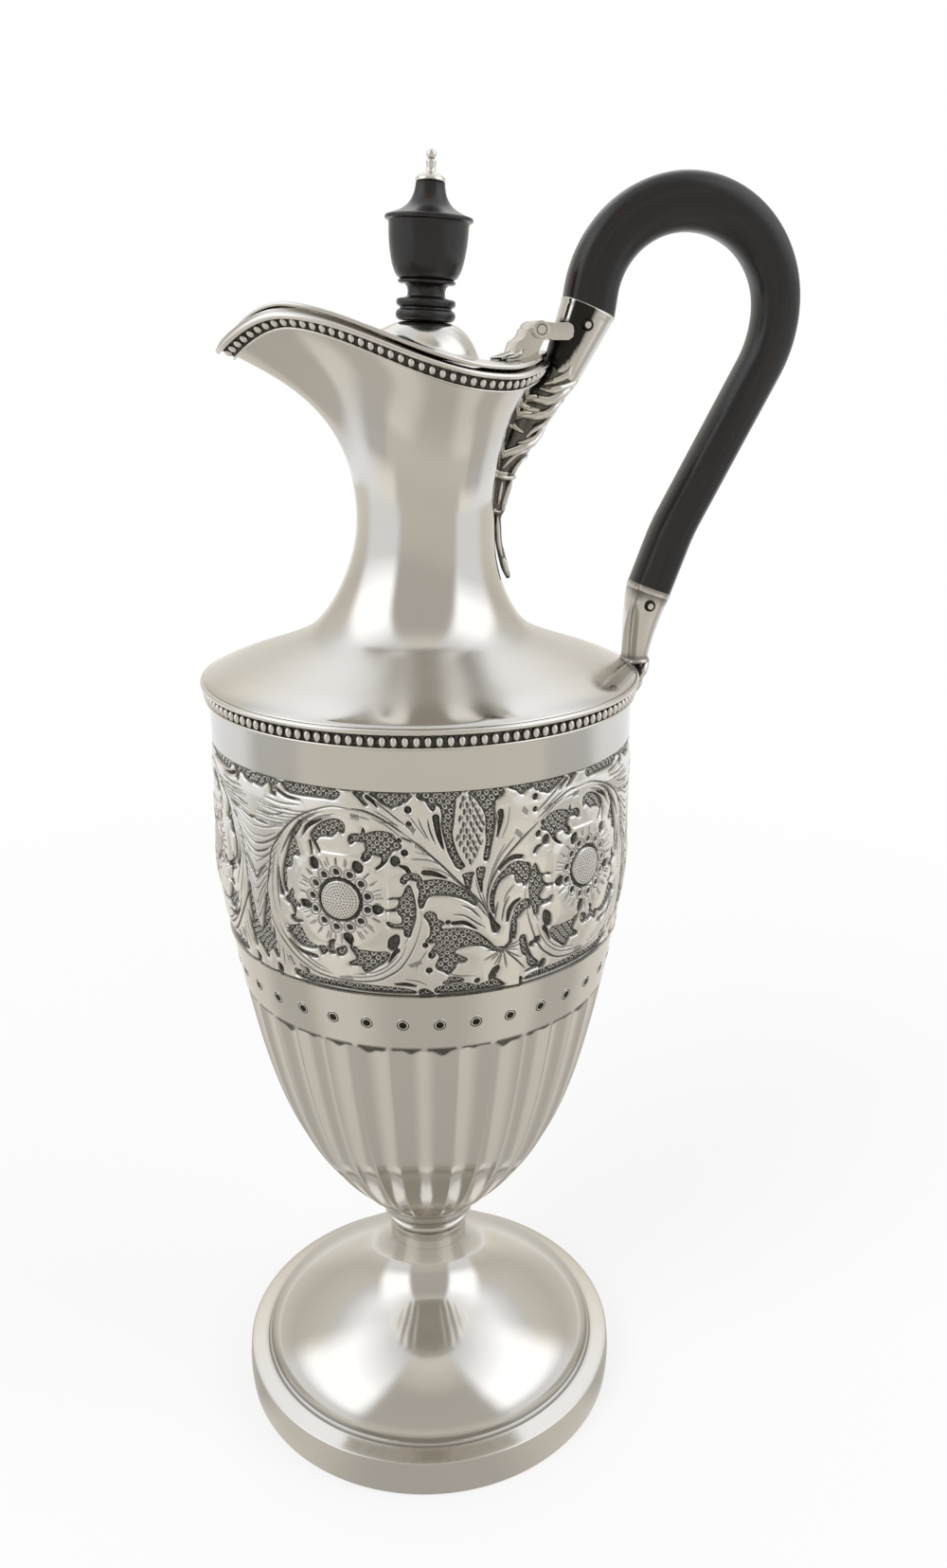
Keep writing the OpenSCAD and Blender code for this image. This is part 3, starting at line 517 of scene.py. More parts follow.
def foot_dome():
    """Sloping ledge, a small step, and the dome that rises to the trumpet under the collar."""
    middle, top = np.array([25.7, 28.9]), np.array(DOME_TOP)
    foot = np.array([LEDGE[0] - 0.8, LEDGE[1] + 0.2])
    lower = foot, foot + [0, 4.22], middle + [12.43, -5.70], middle
    upper = middle, middle - [6.21, -2.85], top - [0, 10.05], top
    t = np.linspace(0, 1, 26)
    outer, inner = (np.vstack([along(lower, t, off), along(upper, t[1:], off)]) for off in (0, -SHEET))
    edge, lip = FOOT_R - 2.25, 51.9
    profile = [(edge, BAND_H - 2.1), (edge, 10.72), (lip, 10.70), (lip, 10.76), (edge, 10.86), (49.4, 10.95),
               (48.25, 11.05), (48.0, 11.12), (47.9, 11.35), (47.86, 11.8), (47.72, 12.0), (47.4, 12.1),
               (47.12, 12.15)]
    profile += outer.tolist() + inner[::-1].tolist() + [(LEDGE[0] - SHEET - 1, LEDGE[1] - SHEET - 1)]
    row = np.arange(len(profile))
    dark = np.interp(row, [6, 7, 8, 9, 11, 12, 13, 15], [0, 0.5, 0.5, 0.1, 0.1, 0.45, 0.35, 0])
    return lathe(profile, FOOT_SIDES, dark)


def stem_collar():
    """Waist, ring and flare between the foot and the bowl."""
    z0, top = DOME_TOP[1] + 0.05, BOWL_Z - 0.05
    out = [(10.9, z0), (10.85, 46.5)]
    out += curve([(10.85, 47.3), (10.85, 49.9), (11.3, 50.5), (11.75, 50.9)], 8)
    out += oval_arc(11.75, 52.3, 0.72, -0.75, 20, 160, 9)
    out += curve([(11.8, 53.2), (11.7, 54.6), (14.2, 55.3), (14.5, top)], 12)
    out += [(8.9, top), (8.9, z0)]
    dark = [0.3 if 50.5 < z < 51.2 or 53.0 < z < 53.6 else 0 for _, z in out]
    return lathe(out, 160, np.array(dark, float))


# Bowl with flutes
FLUTES = 36
FLUTE_SIDES = 16
FLUTE_TOP = 131.7
FLUTE_END = 61.0
FLUTE_AT = -103.6
EYELET_Z = 139.0
EYELET_AT = -104.2
BOWL_CURVE = (COLLAR_R, BOWL_Z), (34.6, 77.0), (43.35, 95.7), (FRIEZE_R, FRIEZE_Z)


def bowl_shares(heights):
    """Shares of the bowl's curve at which it reaches the heights."""
    fine = np.linspace(0, 1, 2001)
    return np.interp(heights, along(BOWL_CURVE, fine)[:, 1], fine)


def bowl_rows():
    """Shares of the bowl's curve for its rows, close together where the flutes begin and end."""
    return bowl_shares(np.concatenate([
        np.linspace(BOWL_Z, 59.6, 3), np.linspace(60.2, 67, 13), np.linspace(69, 127.4, 34),
        np.linspace(128.2, 131.2, 13), [131.45, 131.6, 131.72, 131.86, 132.1, 132.6],
        np.linspace(133.6, FRIEZE_Z, 5)]))


def bowl():
    """Fluted bowl: hollow flutes that end in a step above and in rounded tongues below."""
    t = bowl_rows()
    base = along(BOWL_CURVE, t)
    way = bezier_way(BOWL_CURVE, t)
    out = np.stack([way[:, 1], -way[:, 0]], 1)
    column = np.arange(FLUTES * FLUTE_SIDES)
    flute = column // FLUTE_SIDES
    phase = (column % FLUTE_SIDES) / FLUTE_SIDES * 2 - 1
    hollow = 1 - np.abs(phase) ** 2.1
    depth = base[:, 0] * TAU / FLUTES * 0.115
    height = base[:, 1:2]
    step = ease(FLUTE_TOP - height, -0.06, 0.14)
    tongue_z = FLUTE_END + 3.4 * (1 - np.sqrt(np.clip(1 - phase**2, 0, 1)))
    fade = ease(height - tongue_z[None], -0.4, 2.6) ** 0.8
    arch_z = FLUTE_TOP - 0.25 * np.abs(phase) ** 6
    cut = step * ease(arch_z[None] - height, -0.05, 0.3)
    sink = depth[:, None] * hollow[None] * fade * cut
    a = np.radians(FLUTE_AT + (column / FLUTE_SIDES - 0.5) * 360 / FLUTES)
    r = base[:, :1] - sink * out[:, :1]
    rings = np.stack([r * np.cos(a), r * np.sin(a), height - sink * out[:, 1:]], -1)
    # The dark under each flute's top step is partly tarnish and partly painted shade.
    spill = 1.3 + 0.8 * np.sin(flute * 2.4) + 0.5 * np.sin(phase * 5 + flute)
    low = FLUTE_TOP - 0.25 - np.clip(spill, 0.4, 2.4) * hollow**1.5
    under = ease(height, low[None] - 0.35, low[None] + 0.25) * (1 - ease(height, 131.9, 132.4))
    dark = 0.9 * under * ease(hollow, 0.15, 0.45)[None]
    # Painted shade in the hollows near the tongues.
    near_end = (1 - ease(height, 60.5, 63)) * hollow[None] * 0.25
    return rings, dark + near_end * fade


def body():
    """Bowl, the wall behind the frieze and the plain band over it, as one hollow vessel."""
    rings, dark = bowl()
    a = np.arctan2(rings[0, :, 1], rings[0, :, 0])
    inner = along(BOWL_CURVE, np.linspace(1, 0.08, 24), -SHEET)
    rows = [(50.0, FRIEZE_Z + 0.02), (50.0, FRIEZE_Z + 0.06), (51.3, FRIEZE_TOP - 0.06),
            (51.3, FRIEZE_TOP - 0.02), (BAND_R, FRIEZE_TOP)]
    rows += [(BAND_R, z) for z in (198.4, 201, 204, BORDER_Z)]
    rows += [(BAND_R - SHEET, BORDER_Z), (50.4, FRIEZE_TOP - 0.4), (49.3, FRIEZE_Z)]
    rows += [(r, z) for r, z in inner[1:] if z > BOWL_Z + SHEET]
    rows += [(COLLAR_R - SHEET, BOWL_Z + SHEET), (0.0, BOWL_Z + SHEET), (0.0, BOWL_Z)]
    wall = np.array([np.stack([r * np.cos(a), r * np.sin(a), z + 0 * a], 1) for r, z in rows])
    tone = np.vstack([dark, np.zeros(wall.shape[:2])])
    return tube(np.concatenate([rings, wall]), tone)


def eyelets():
    """Punched eyelets on the plain band: a raised ring round a flat centre whose painted shade stands for
    the hole.
    """
    profile = numbers("0,0.03 0.86,0.03 0.93,0.1 1.01,0.15 1.13,0.15 1.21,0.09 1.26,0.05 1.44,0.05 1.5,0.09 "
                      "1.58,0.07 1.66,-0.04 1.66,-0.3 0,-0.3")
    tones = np.array([1.4, 1.4, 0.9, 0, 0, 0.3, 1.2, 1.2, 0.3, 0, 0.2, 0, 0], float)
    one = lathe(profile[::-1], 18, tones[::-1])
    t = bowl_shares(EYELET_Z)
    at, way = along(BOWL_CURVE, t), bezier_way(BOWL_CURVE, t)
    up_z = np.array([0, 0, 1])
    made = []
    for k in range(FLUTES):
        radial, round_way = out_and_round(math.radians(EYELET_AT + k * 360 / FLUTES))
        up = radial * way[0] + up_z * way[1]
        face = radial * way[1] - up_z * way[0]
        made.append(moved(one, np.stack([round_way, up, face], 1), radial * at[0] + up_z * at[1]))
    return join(made)


# Frieze of scrolls. Its drawing has 22.4 units to a millimetre, Y down from the plain band, and X 0 at
# DRAWN_LEFT degrees to the left of the camera's side
PER_DEGREE = 20.33
CELL = (173.0, 2612.6)
MIRROR = 2785.0
SIDE_END = 1190
MIRRORED_START = 1655
DRAWN_Y = (1164.6, 33.4)
DRAWN_LEFT = 56
FLOWER = (713.0, 622.0)
FIRST_HOLE = (698, 478)
FLOWER_HOLES = 13
FLOWER_HATCHES = 52

SIDE_PATCHES = [
    "165,60 180,48 300,46 392,50 392,58 370,54 352,66 346,88 340,100 345,125 322,130 308,120 304,92 292,74 "
    "265,84 240,102 205,104 172,95",
    "408,46 700,44 702,90 640,92 560,96 470,98 425,95 404,78",
    "795,45 850,45 838,60 848,85 866,106 850,108 822,80 806,62",
    "885,45 1072,45 1066,75 1052,88 1040,85 1036,98 1005,108 985,118 965,108 930,90 902,64",
    "500,235 472,262 442,308 420,365 398,430 376,495 366,555 372,605 390,640 402,636 392,600 394,555 "
    "392,520 400,503 425,492 436,470 438,440 452,425 478,425 486,405 474,380 466,345 462,322 478,292 "
    "498,262",
    "556,300 580,262 625,222 690,196 738,208 744,245 735,265 712,255 698,268 672,290 640,292 606,300 "
    "590,318 572,332 562,322",
    "764,300 770,318 785,310 800,300 830,300 850,300 850,262 842,228 832,262 815,262 790,265 770,280",
    "845,300 850,268 880,250 930,240 985,252 1004,280 1028,312 1020,332 990,342 972,365 952,400 925,428 "
    "900,440 928,412 932,380 905,368 882,366 868,388 845,400 832,392 836,370 852,345",
    "1060,525 1050,540 1035,575 1020,590 985,592 965,600 1000,595 1015,610 1005,640 975,655 945,655 "
    "975,662 1000,660 1015,680 1030,700 1028,725 1000,735 975,728 955,722 965,745 990,752 1020,755 "
    "1038,765 1042,795 1055,802 1065,795 1070,770 1085,720 1093,670 1094,630 1088,590 1080,560 1070,530",
    "382,865 400,835 385,825 410,830 450,815 468,805 480,820 492,850 510,880 540,905 570,915 545,930 "
    "510,935 470,930 430,905 405,880",
    "575,915 600,905 630,905 640,880 650,862 675,850 662,875 662,905 672,930 650,938 628,930 612,940 "
    "592,955 580,935",
    "678,930 680,910 700,895 730,885 736,900 728,920 710,938 690,942",
    "755,885 765,872 785,880 800,895 830,895 870,898 905,898 945,895 960,905 950,935 925,965 890,990 "
    "855,1015 830,1028 815,1010 805,990 775,990 745,990 750,975 775,960 785,950 780,930 765,905",
    "236,700 258,690 265,740 262,830 256,900 262,950 276,1000 278,1050 270,1068 252,1050 240,1020 222,1032 "
    "205,1045 190,1075 173,1100 150,1060 150,960 185,900 205,830 222,760",
    "278,870 285,920 284,970 270,990 250,985 262,940 270,900",
    "385,680 400,665 412,640 432,618 440,640 432,650 455,670 485,690 480,700 455,700 450,730 445,760 "
    "455,775 480,780 495,778 470,790 450,800 430,790 415,775 425,765 440,758 435,730 425,705 405,695",
    "385,1105 400,1098 470,1100 560,1112 660,1110 760,1105 870,1110 960,1112 1010,1115 1060,1125 1090,1142 "
    "960,1145 800,1145 600,1148 470,1150 400,1135 385,1125",
    "1108,1130 1135,1120 1165,1135 1185,1152 1140,1155 1110,1150",
]
CENTRE_PATCHES = [
    "1110,45 1155,40 1310,38 1325,50 1300,75 1295,110 1290,150 1285,200 1278,250 1285,300 1300,350 "
    "1320,395 1340,430 1325,445 1300,430 1280,390 1262,350 1248,300 1235,250 1228,200 1232,160 1225,120 "
    "1200,100 1190,130 1175,120 1150,80 1120,70",
    "1370,45 1520,38 1545,60 1545,75 1520,90 1500,110 1495,160 1500,200 1495,240 1485,300 1475,350 "
    "1465,400 1455,412 1442,400 1448,350 1455,300 1450,250 1452,200 1440,150 1425,120 1400,85 1380,65",
    "1108,505 1140,500 1200,495 1250,505 1300,530 1340,560 1370,590 1400,625 1395,645 1360,620 1320,600 "
    "1270,585 1220,578 1180,580 1150,598 1130,640 1118,640 1112,600 1118,560 1108,530",
    "1028,512 1026,490 1046,466 1080,460 1110,468 1126,492 1120,505 1100,500 1075,492 1055,500 1045,515",
    "1140,690 1145,672 1170,665 1195,680 1200,705 1225,720 1238,735 1225,745 1222,760 1260,765 1290,762 "
    "1340,770 1390,790 1430,820 1470,860 1500,895 1545,905 1545,935 1510,920 1480,905 1440,880 1400,872 "
    "1350,870 1310,882 1290,900 1300,912 1330,930 1352,945 1350,958 1320,962 1300,975 1290,1000 1270,1025 "
    "1258,1030 1240,1015 1210,1000 1195,975 1205,945 1215,920 1195,895 1180,890 1190,905 1180,925 1165,925 "
    "1160,905 1175,880 1185,860 1195,840 1150,835 1148,820 1165,800 1170,760 1160,720",
    "1235,1080 1260,1065 1262,1052 1290,1050 1325,1060 1342,1078 1330,1085 1300,1085 1260,1092 1238,1092",
    "1190,1128 1205,1112 1240,1102 1290,1098 1350,1098 1390,1110 1420,1118 1460,1108 1490,1098 1520,1095 "
    "1560,1130 1575,1142 1540,1150 1400,1150 1250,1150 1200,1145",
    "1335,475 1385,470 1378,500 1370,550 1362,580 1350,545 1340,500",
    "1405,450 1442,450 1440,490 1430,530 1428,580 1418,545 1408,500",
    "1578,40 1690,38 1700,60 1670,70 1652,85 1635,84 1612,62 1590,52",
    "1488,700 1474,660 1474,610 1488,560 1512,515 1545,478 1585,450 1625,444 1655,455 1690,470 1700,520 "
    "1690,560 1660,580 1650,560 1625,560 1612,540 1605,510 1575,508 1545,520 1520,545 1500,590 1490,640 "
    "1494,690",
    "1600,860 1595,800 1590,760 1600,720 1610,690 1640,665 1680,660 1700,690 1690,705 1660,715 1635,740 "
    "1615,760 1618,800 1612,860",
    "1640,870 1665,860 1680,900 1700,960 1730,1010 1770,1050 1760,1075 1720,1060 1700,1030 1690,990 "
    "1660,960",
]
# Each drop is a sunk stroke: points of X, Y and width
SIDE_DROPS = [
    "355,98,14 420,120,12 500,125,2", "865,65,16 885,80,14 915,115,2", "512,298,2 545,250,14 620,208,4",
    "552,335,12 562,400,3", "575,325,14 608,380,3", "395,915,6 450,960,14 520,975,22 555,975,14",
    "1000,880,20 980,910,14 955,955,3", "340,520,2 342,570,10 352,620,18 364,652,26",
    "1018,418,4 1050,430,16 1065,452,14", "980,1090,4 1040,1088,14 1090,1098,6",
    "1000,802,20 985,830,48 975,860,40", "1065,123,26 1065,127,26", "1068,196,18 1068,200,18",
    "475,1080,24 475,1084,24", "1045,348,26 1045,352,26", "1020,283,16 1020,287,16", "573,436,44 573,450,44",
    "809,430,44 809,444,44", "905,655,44 920,652,30 935,650,4", "750,825,44 757,845,26 765,870,4",
    "510,675,36 530,675,36", "998,390,40 998,400,40", "683,246,40 683,256,40", "270,1122,40 270,1134,40",
]
CENTRE_DROPS = [
    "1280,732,14 1340,735,14 1400,775,2", "1253,725,16 1258,725,16", "1140,455,20 1185,460,20 1250,488,3",
    "1142,848,20 1142,852,20", "1160,999,26 1160,1002,26", "1415,1087,24 1415,1089,24",
    "1495,1068,30 1512,1040,40 1520,1025,24", "1498,1080,34 1502,1080,34",
    "1200,165,26 1215,260,18 1235,330,2", "1525,165,26 1528,200,20 1510,290,3",
    "1520,470,6 1560,430,16 1600,415,20 1645,420,14", "1565,755,8 1575,700,20 1600,665,16 1630,650,10",
    "1470,700,4 1488,755,22 1505,790,40", "1710,920,24 1712,925,24", "1742,905,34 1748,905,34",
    "1800,1060,40 1800,1076,40", "1600,760,24 1590,820,14 1585,880,14 1560,910,20",
]
# Each line is a shallow cut: its width, then its points
SIDE_LINES = [
    "9 860,140 700,128 600,155 500,205 420,270 370,330 300,430 285,500 270,560 262,620 258,690 262,750 "
    "290,830 330,900 380,960 430,1010 500,1055 560,1080 640,1090 720,1092 820,1085 900,1065 960,1030 "
    "1010,990 1050,930 1080,870 1105,800 1120,740 1125,690 1122,650",
    "6 345,460 330,560 335,640 350,720 360,760", "5 320,440 302,540 300,640 312,740 335,820",
    "5 360,800 400,880 460,950 540,1010 620,1040", "6 330,830 370,900 430,965 510,1020 600,1058",
    "5 770,1040 850,1030 930,990 990,930 1010,890", "5 700,1062 790,1060 880,1040 960,990 1020,920 1050,850",
    "5 1040,840 1070,780 1090,720 1098,650", "5 640,1060 560,1045 500,1010",
    "10 790,130 860,140 950,180 1050,250", "9 600,178 520,225 450,290 400,370 365,440",
    "5 640,160 560,190 490,240 440,300", "5 890,165 960,205 1030,265", "12 150,270 200,292 290,295",
    "6 205,235 300,240 420,205", "9 150,430 240,410 330,360 400,290", "10 150,475 220,460 280,430",
    "5 150,500 230,490 300,440", "5 180,590 260,530", "12 155,640 190,600 215,560 235,540",
    "5 170,780 200,700 250,620", "5 215,185 330,195 450,180", "6 270,150 380,160 500,150",
    "5 500,325 540,260 600,215 680,180", "6 500,330 530,260 600,200 700,165", "6 310,950 300,1010 285,1060",
    "8 335,970 330,1040 320,1090", "5 355,1000 360,1050 372,1088", "7 885,70 1000,160 1060,210",
    "5 900,130 960,165 1020,210", "6 925,190 980,190 1020,205", "5 785,165 840,168 880,175",
    "5 160,330 260,320 350,290", "5 150,380 250,372 340,330", "5 160,690 200,660 240,600",
    "5 150,880 190,820 225,740",
]
CENTRE_LINES = [
    "10 1050,250 1150,340 1230,420 1300,500 1380,585 1440,660 1490,770", "8 1160,170 1170,230 1195,300",
    "6 1115,165 1130,210 1165,280", "5 1070,150 1110,210 1150,270", "10 1030,265 1085,290",
    "4 1100,340 1160,360 1220,400", "5 1075,378 1160,385 1230,420",
    "5 1130,425 1220,445 1300,510 1380,600 1440,680", "7 1320,635 1370,660 1420,715",
    "7 1280,680 1340,695 1400,740 1440,770", "6 1350,560 1400,640 1470,730", "6 1430,580 1445,640 1475,710",
    "6 1395,500 1420,600 1460,690", "5 1545,330 1500,420 1465,520 1452,620 1460,690",
    "5 1600,300 1520,400 1480,500 1462,600",
    "10 1735,250 1640,320 1560,400 1500,480 1465,560 1455,640 1465,700", "4 1570,140 1560,220 1530,300",
    "6 1500,160 1515,240 1505,300", "8 1510,640 1500,700 1495,740", "8 1570,620 1545,670 1530,750",
    "6 1545,915 1450,910", "6 1545,915 1440,960", "6 1545,915 1480,965", "6 1545,915 1500,1000",
    "6 1545,915 1520,1010", "6 1545,915 1570,1030", "7 1545,915 1620,990 1690,1070", "6 1545,915 1650,985",
    "6 1545,915 1630,935", "6 1545,915 1660,870", "6 1545,915 1660,905",
    "8 1232,120 1255,200 1262,300 1290,380", "5 1230,1000 1300,1040 1400,1050",
    "5 1600,560 1560,600 1540,650", "5 1150,880 1120,930 1090,990", "5 1040,1055 1100,1065 1150,1090",
]
# Rows of short ticks across a line from the first point to the last: the count, then the points
SIDE_TICKS = [
    "8 300,295 340,290 400,270", "6 375,1010 382,1040 400,1075", "5 430,1050 470,1085",
    "6 680,1085 760,1065", "9 485,265 510,235 548,212", "6 780,165 830,172", "7 205,600 230,570 262,535",
]
CENTRE_TICKS = [
    "8 1060,195 1080,218 1100,240", "7 1055,975 1085,960 1125,940", "6 1600,270 1640,310",
    "5 1640,160 1670,190", "7 1090,300 1120,312 1150,345",
]


def numbers(text):
    """Points, from text with a comma between coordinates and a space between points."""
    return np.array([[float(v) for v in word.split(",")] for word in text.split()])


def near(x, y, points, reach):
    """Which grid points lie within reach of the box round some points."""
    low, high = points[:, :2].min(0) - reach, points[:, :2].max(0) + reach
    return (x > low[0]) & (x < high[0]) & (y > low[1]) & (y < high[1])


def to_segment(x, y, a, b):
    """Distance of points from the segment a to b, and where along it, from 0 to 1, they are nearest."""
    d = b[:2] - a[:2]
    t = np.clip(((x - a[0]) * d[0] + (y - a[1]) * d[1]) / max(d @ d, 1e-9), 0, 1)
    return np.hypot(x - a[0] - t * d[0], y - a[1] - t * d[1]), t


def to_stroke(x, y, line):
    """Distance of points from a stroke's edge, below zero inside it. The third column is its width."""
    best = np.full(x.shape, 1e6)
    for a, b in zip(line[:-1], line[1:]):
        away, t = to_segment(x, y, a, b)
        best = np.minimum(best, away - mix(a[2], b[2], t) / 2)
    return best


def to_patch(x, y, outline):
    """Distance of points from a closed outline, below zero inside it."""
    best, inside = np.full(x.shape, 1e6), np.zeros(x.shape, bool)
    for a, b in zip(outline, np.roll(outline, -1, 0)):
        best = np.minimum(best, to_segment(x, y, a, b)[0])
        if a[1] != b[1]:
            inside ^= ((a[1] > y) != (b[1] > y)) & (x < a[0] + (y - a[1]) * (b[0] - a[0]) / (b[1] - a[1]))
    return np.where(inside, -best, best)


def fan(first, last, count):
    """Lines between two others, as evenly as a hand would cut them."""
    a, b = numbers(first), numbers(last)
    return [mix(a, b, (k + 1) / (count + 1)) for k in range(count)]


class Relief:
    """Depth and darkness of the frieze on a grid of the drawing's X and Y."""

    def __init__(self, x, y):
        self.x, self.y = x, y
        self.wall = np.full(x.shape, 60.0)
        self.cut, self.dark, self.rise, self.punched = (np.zeros(x.shape) for _ in range(4))

    def window(self, points, reach, where):
        """The grid points of a region that lie within reach of some points."""
        return near(self.x, self.y, points, reach) & where

    def mark(self, at, cut, dark, rise=0):
        """Cuts, darkens and raises grid points, where that is more than they have."""
        for grid, value in ((self.cut, cut), (self.dark, dark), (self.rise, rise)):
            grid[at] = np.maximum(grid[at], value)

    def patch(self, text, where):
        """Sinks the ground inside a closed outline, and punches it."""
        outline = through(numbers(text), 4, closed=True)
        at = self.window(outline, 60, where)
        away = to_patch(self.x[at], self.y[at], outline)
        self.wall[at] = np.minimum(self.wall[at], away)
        self.punched[at] = np.maximum(self.punched[at], ease(-away, 3, 8))

    def drop(self, text, where):
        """Sinks a stroke of varying width."""
        line = through(numbers(text), 5)
        at = self.window(line, 60, where)
        self.wall[at] = np.minimum(self.wall[at], to_stroke(self.x[at], self.y[at], line))

    def line(self, points, width, where, taper=True):
        """Cuts a shallow line, fine at its ends if it tapers."""
        line = spaced(through(points, 5), max(4, 3 * len(points)))
        share = np.linspace(0, 1, len(line))
        wide = np.clip(4.5 * np.minimum(share + 0.06, 1.04 - share), 0.25, 1) if taper else 1 + 0 * share
        line = np.column_stack([line, width * wide])
        at = self.window(line, 20, where)
        deep = 1 - ease(to_stroke(self.x[at], self.y[at], line), -2.5, 3.2)
        strong = min(1.0, 0.66 + width * 0.05)
        self.mark(at, deep * 0.34 * strong, deep * 0.95 * strong)

    def ticks(self, text, where):
        """Cuts a row of short ticks across a line."""
        count, points = text.split(" ", 1)
        line = spaced(through(numbers(points), 5), int(count) + 2)[1:-1]
        for p, w in zip(line, unit(np.gradient(line, axis=0))):
            across = np.array([-w[1], w[0]]) * 11 + w * 4
            self.line(np.array([p - across, p + across]), 4.5, where, taper=False)

    def draw(self, patches, drops, lines, ticks, where):
        """Draws everything in four lists of text."""
        for text in patches:
            self.patch(text, where)
        for text in drops:
            self.drop(text, where)
        for text in lines:
            width, points = text.split(" ", 1)
            self.line(numbers(points), float(width), where)
        for text in ticks:
            self.ticks(text, where)

    def flower(self, centre, where):
        """Stippled heart, a ring of eyelets, and petals hatched from the middle."""
        cx, cy = centre
        at = near(self.x, self.y, np.array([centre]), 250) & where
        x, y = self.x[at] - cx, self.y[at] - cy
        r, turn = np.hypot(x, y), np.degrees(np.arctan2(y, x))
        ring = 1 - ease(np.abs(r - 111), 6, 12)
        self.mark(at, 0.5 * ring, ring, 0.55 * np.sqrt(np.clip(1 - (r / 104) ** 2, 0, 1)))
        steps = np.round(r / 15)
        rows = np.maximum(steps * 6, 1)
        off = turn / 360 * rows
        spot = np.hypot(r - steps * 15, (off - np.round(off)) * 360 / rows * r / 57.3)
        stipple = (1 - ease(spot, 3.0, 6.5)) * (r < 96)
        self.mark(at, 0.12 * stipple, 0.85 * stipple)
        first = math.atan2(FIRST_HOLE[1] - cy, FIRST_HOLE[0] - cx)
        for k in range(FLOWER_HOLES):
            a = first + k * TAU / FLOWER_HOLES
            q = np.hypot(x - 150 * math.cos(a), y - 150 * math.sin(a))
            hole, rim = 1 - ease(q, 14, 20), 1 - ease(np.abs(q - 30), 1.5, 5.5)
            collar = 0.16 * (1 - ease(np.abs(q - 22), 2, 7))
            self.mark(at, np.maximum(0.6 * hole, 0.2 * rim), np.maximum(hole, 0.75 * rim), collar)
        self.mark(at, 0, 0, 0.35 * ease(r, 118, 215) * (1 - ease(r, 245, 300)) * (r > 118))
        for k in range(FLOWER_HATCHES):
            a = math.radians(k * 360 / FLOWER_HATCHES + 3 * math.sin(k * 2.7))
            start, end = 184 + 4 * math.sin(k * 1.9), 214 + 24 * abs(math.sin(k * 1.31))
            way = np.array([math.cos(a), math.sin(a)])
            reach = way * start, way * (start + end) / 2, way * end
            self.line(np.array(reach) + np.array(centre), 4.5, where)

    def bud(self, where):
        """Scaly bud in the middle of the top edge."""
        middle, scale = 1370, 33
        for row in range(11):
            y = 78 + row * scale
            half = 66 * math.sqrt(max(0.04, 1 - ((y - 228) / 205) ** 2))
            for k in range(-2, 3):
                x = middle + (k + 0.5 * (row % 2)) * scale + 3 * math.sin(5 * row + 2 * k)
                tip = (x - middle) * 0.12
                if abs(x - middle) < half:
                    curl = (x - tip - 5, y - 17), (x - 1, y), (x + tip + 1, y + 15)
                    self.line(np.array(curl), 12, where)
                    self.line(np.array([(x + 13, y - 14), (x + 9, y + 3)]), 5, where)

    def finish(self):
        """Height above the ground, and darkness, of each grid point."""
        edge = np.clip(self.wall / 15, 0, 1)
        top = np.sqrt(np.clip(1 - (1 - edge) ** 2, 0, 1))
        swell = 0.30 * np.sqrt(np.clip(self.wall, 0, 60) / 60)
        high = np.where(self.wall > 0, 0.62 * top + 0.13 + swell + self.rise * top - self.cut, 0)
        high = np.where(self.wall > -4, np.maximum(high, 0.15 * ease(self.wall, -4, 0)), high)
        dark = np.clip(self.dark, 0, 1)
        return high, np.maximum(dark, 0.96 * (1 - ease(self.wall, -1, 7)))


def frieze_relief(x, y):
    """The drawing on a grid: height in millimetres, darkness, and where it is punched."""
    relief = Relief(x, y)
    everywhere = np.ones(x.shape, bool)
    right = ease(x, 1500, 1650) * (1 - ease(x, 2450, 2612))
    lowered = y + 50 * right * np.sin(math.pi * part_way(y, 40, 1150))
    hatching = fan("640,140 520,165 380,165 270,150", "420,265 350,290 250,300 160,300", 5) \
        + fan("395,295 330,355 240,408 173,425", "262,640 235,700 205,770 178,860", 7)
    for side_x, side_y, here in ((x, y, x < SIDE_END), (MIRROR - x, lowered, x > MIRRORED_START)):
        relief.x, relief.y = side_x, side_y
        relief.draw(SIDE_PATCHES, SIDE_DROPS, SIDE_LINES, SIDE_TICKS, here)
        relief.flower(FLOWER, here)
        for line in hatching:
            relief.line(line, 4.5, here)
    relief.x, relief.y = x, y
    relief.draw(CENTRE_PATCHES, CENTRE_DROPS, CENTRE_LINES, CENTRE_TICKS, everywhere)
    relief.bud(everywhere)
    high, dark = relief.finish()
    border = np.maximum(1 - ease(np.abs(y - 37), 2, 7), 1 - ease(np.abs(y - 1158), 2, 6))
    return mix(high, 0.15, border), np.maximum(dark, 0.85 * border), relief.punched


def punch_place(x, y):
    """Ring-shaped punch marks sit at whole numbers of these coordinates."""
    u = x + 9 * np.sin(y / 37) + 5 * np.sin(x / 29 + y / 41)
    v = y + 9 * np.sin(x / 43) + 5 * np.sin(y / 27 - x / 47)
    pitch = 31.0
    return (u + v) / (pitch * math.sqrt(2)), (u - v) / (pitch * math.sqrt(2))


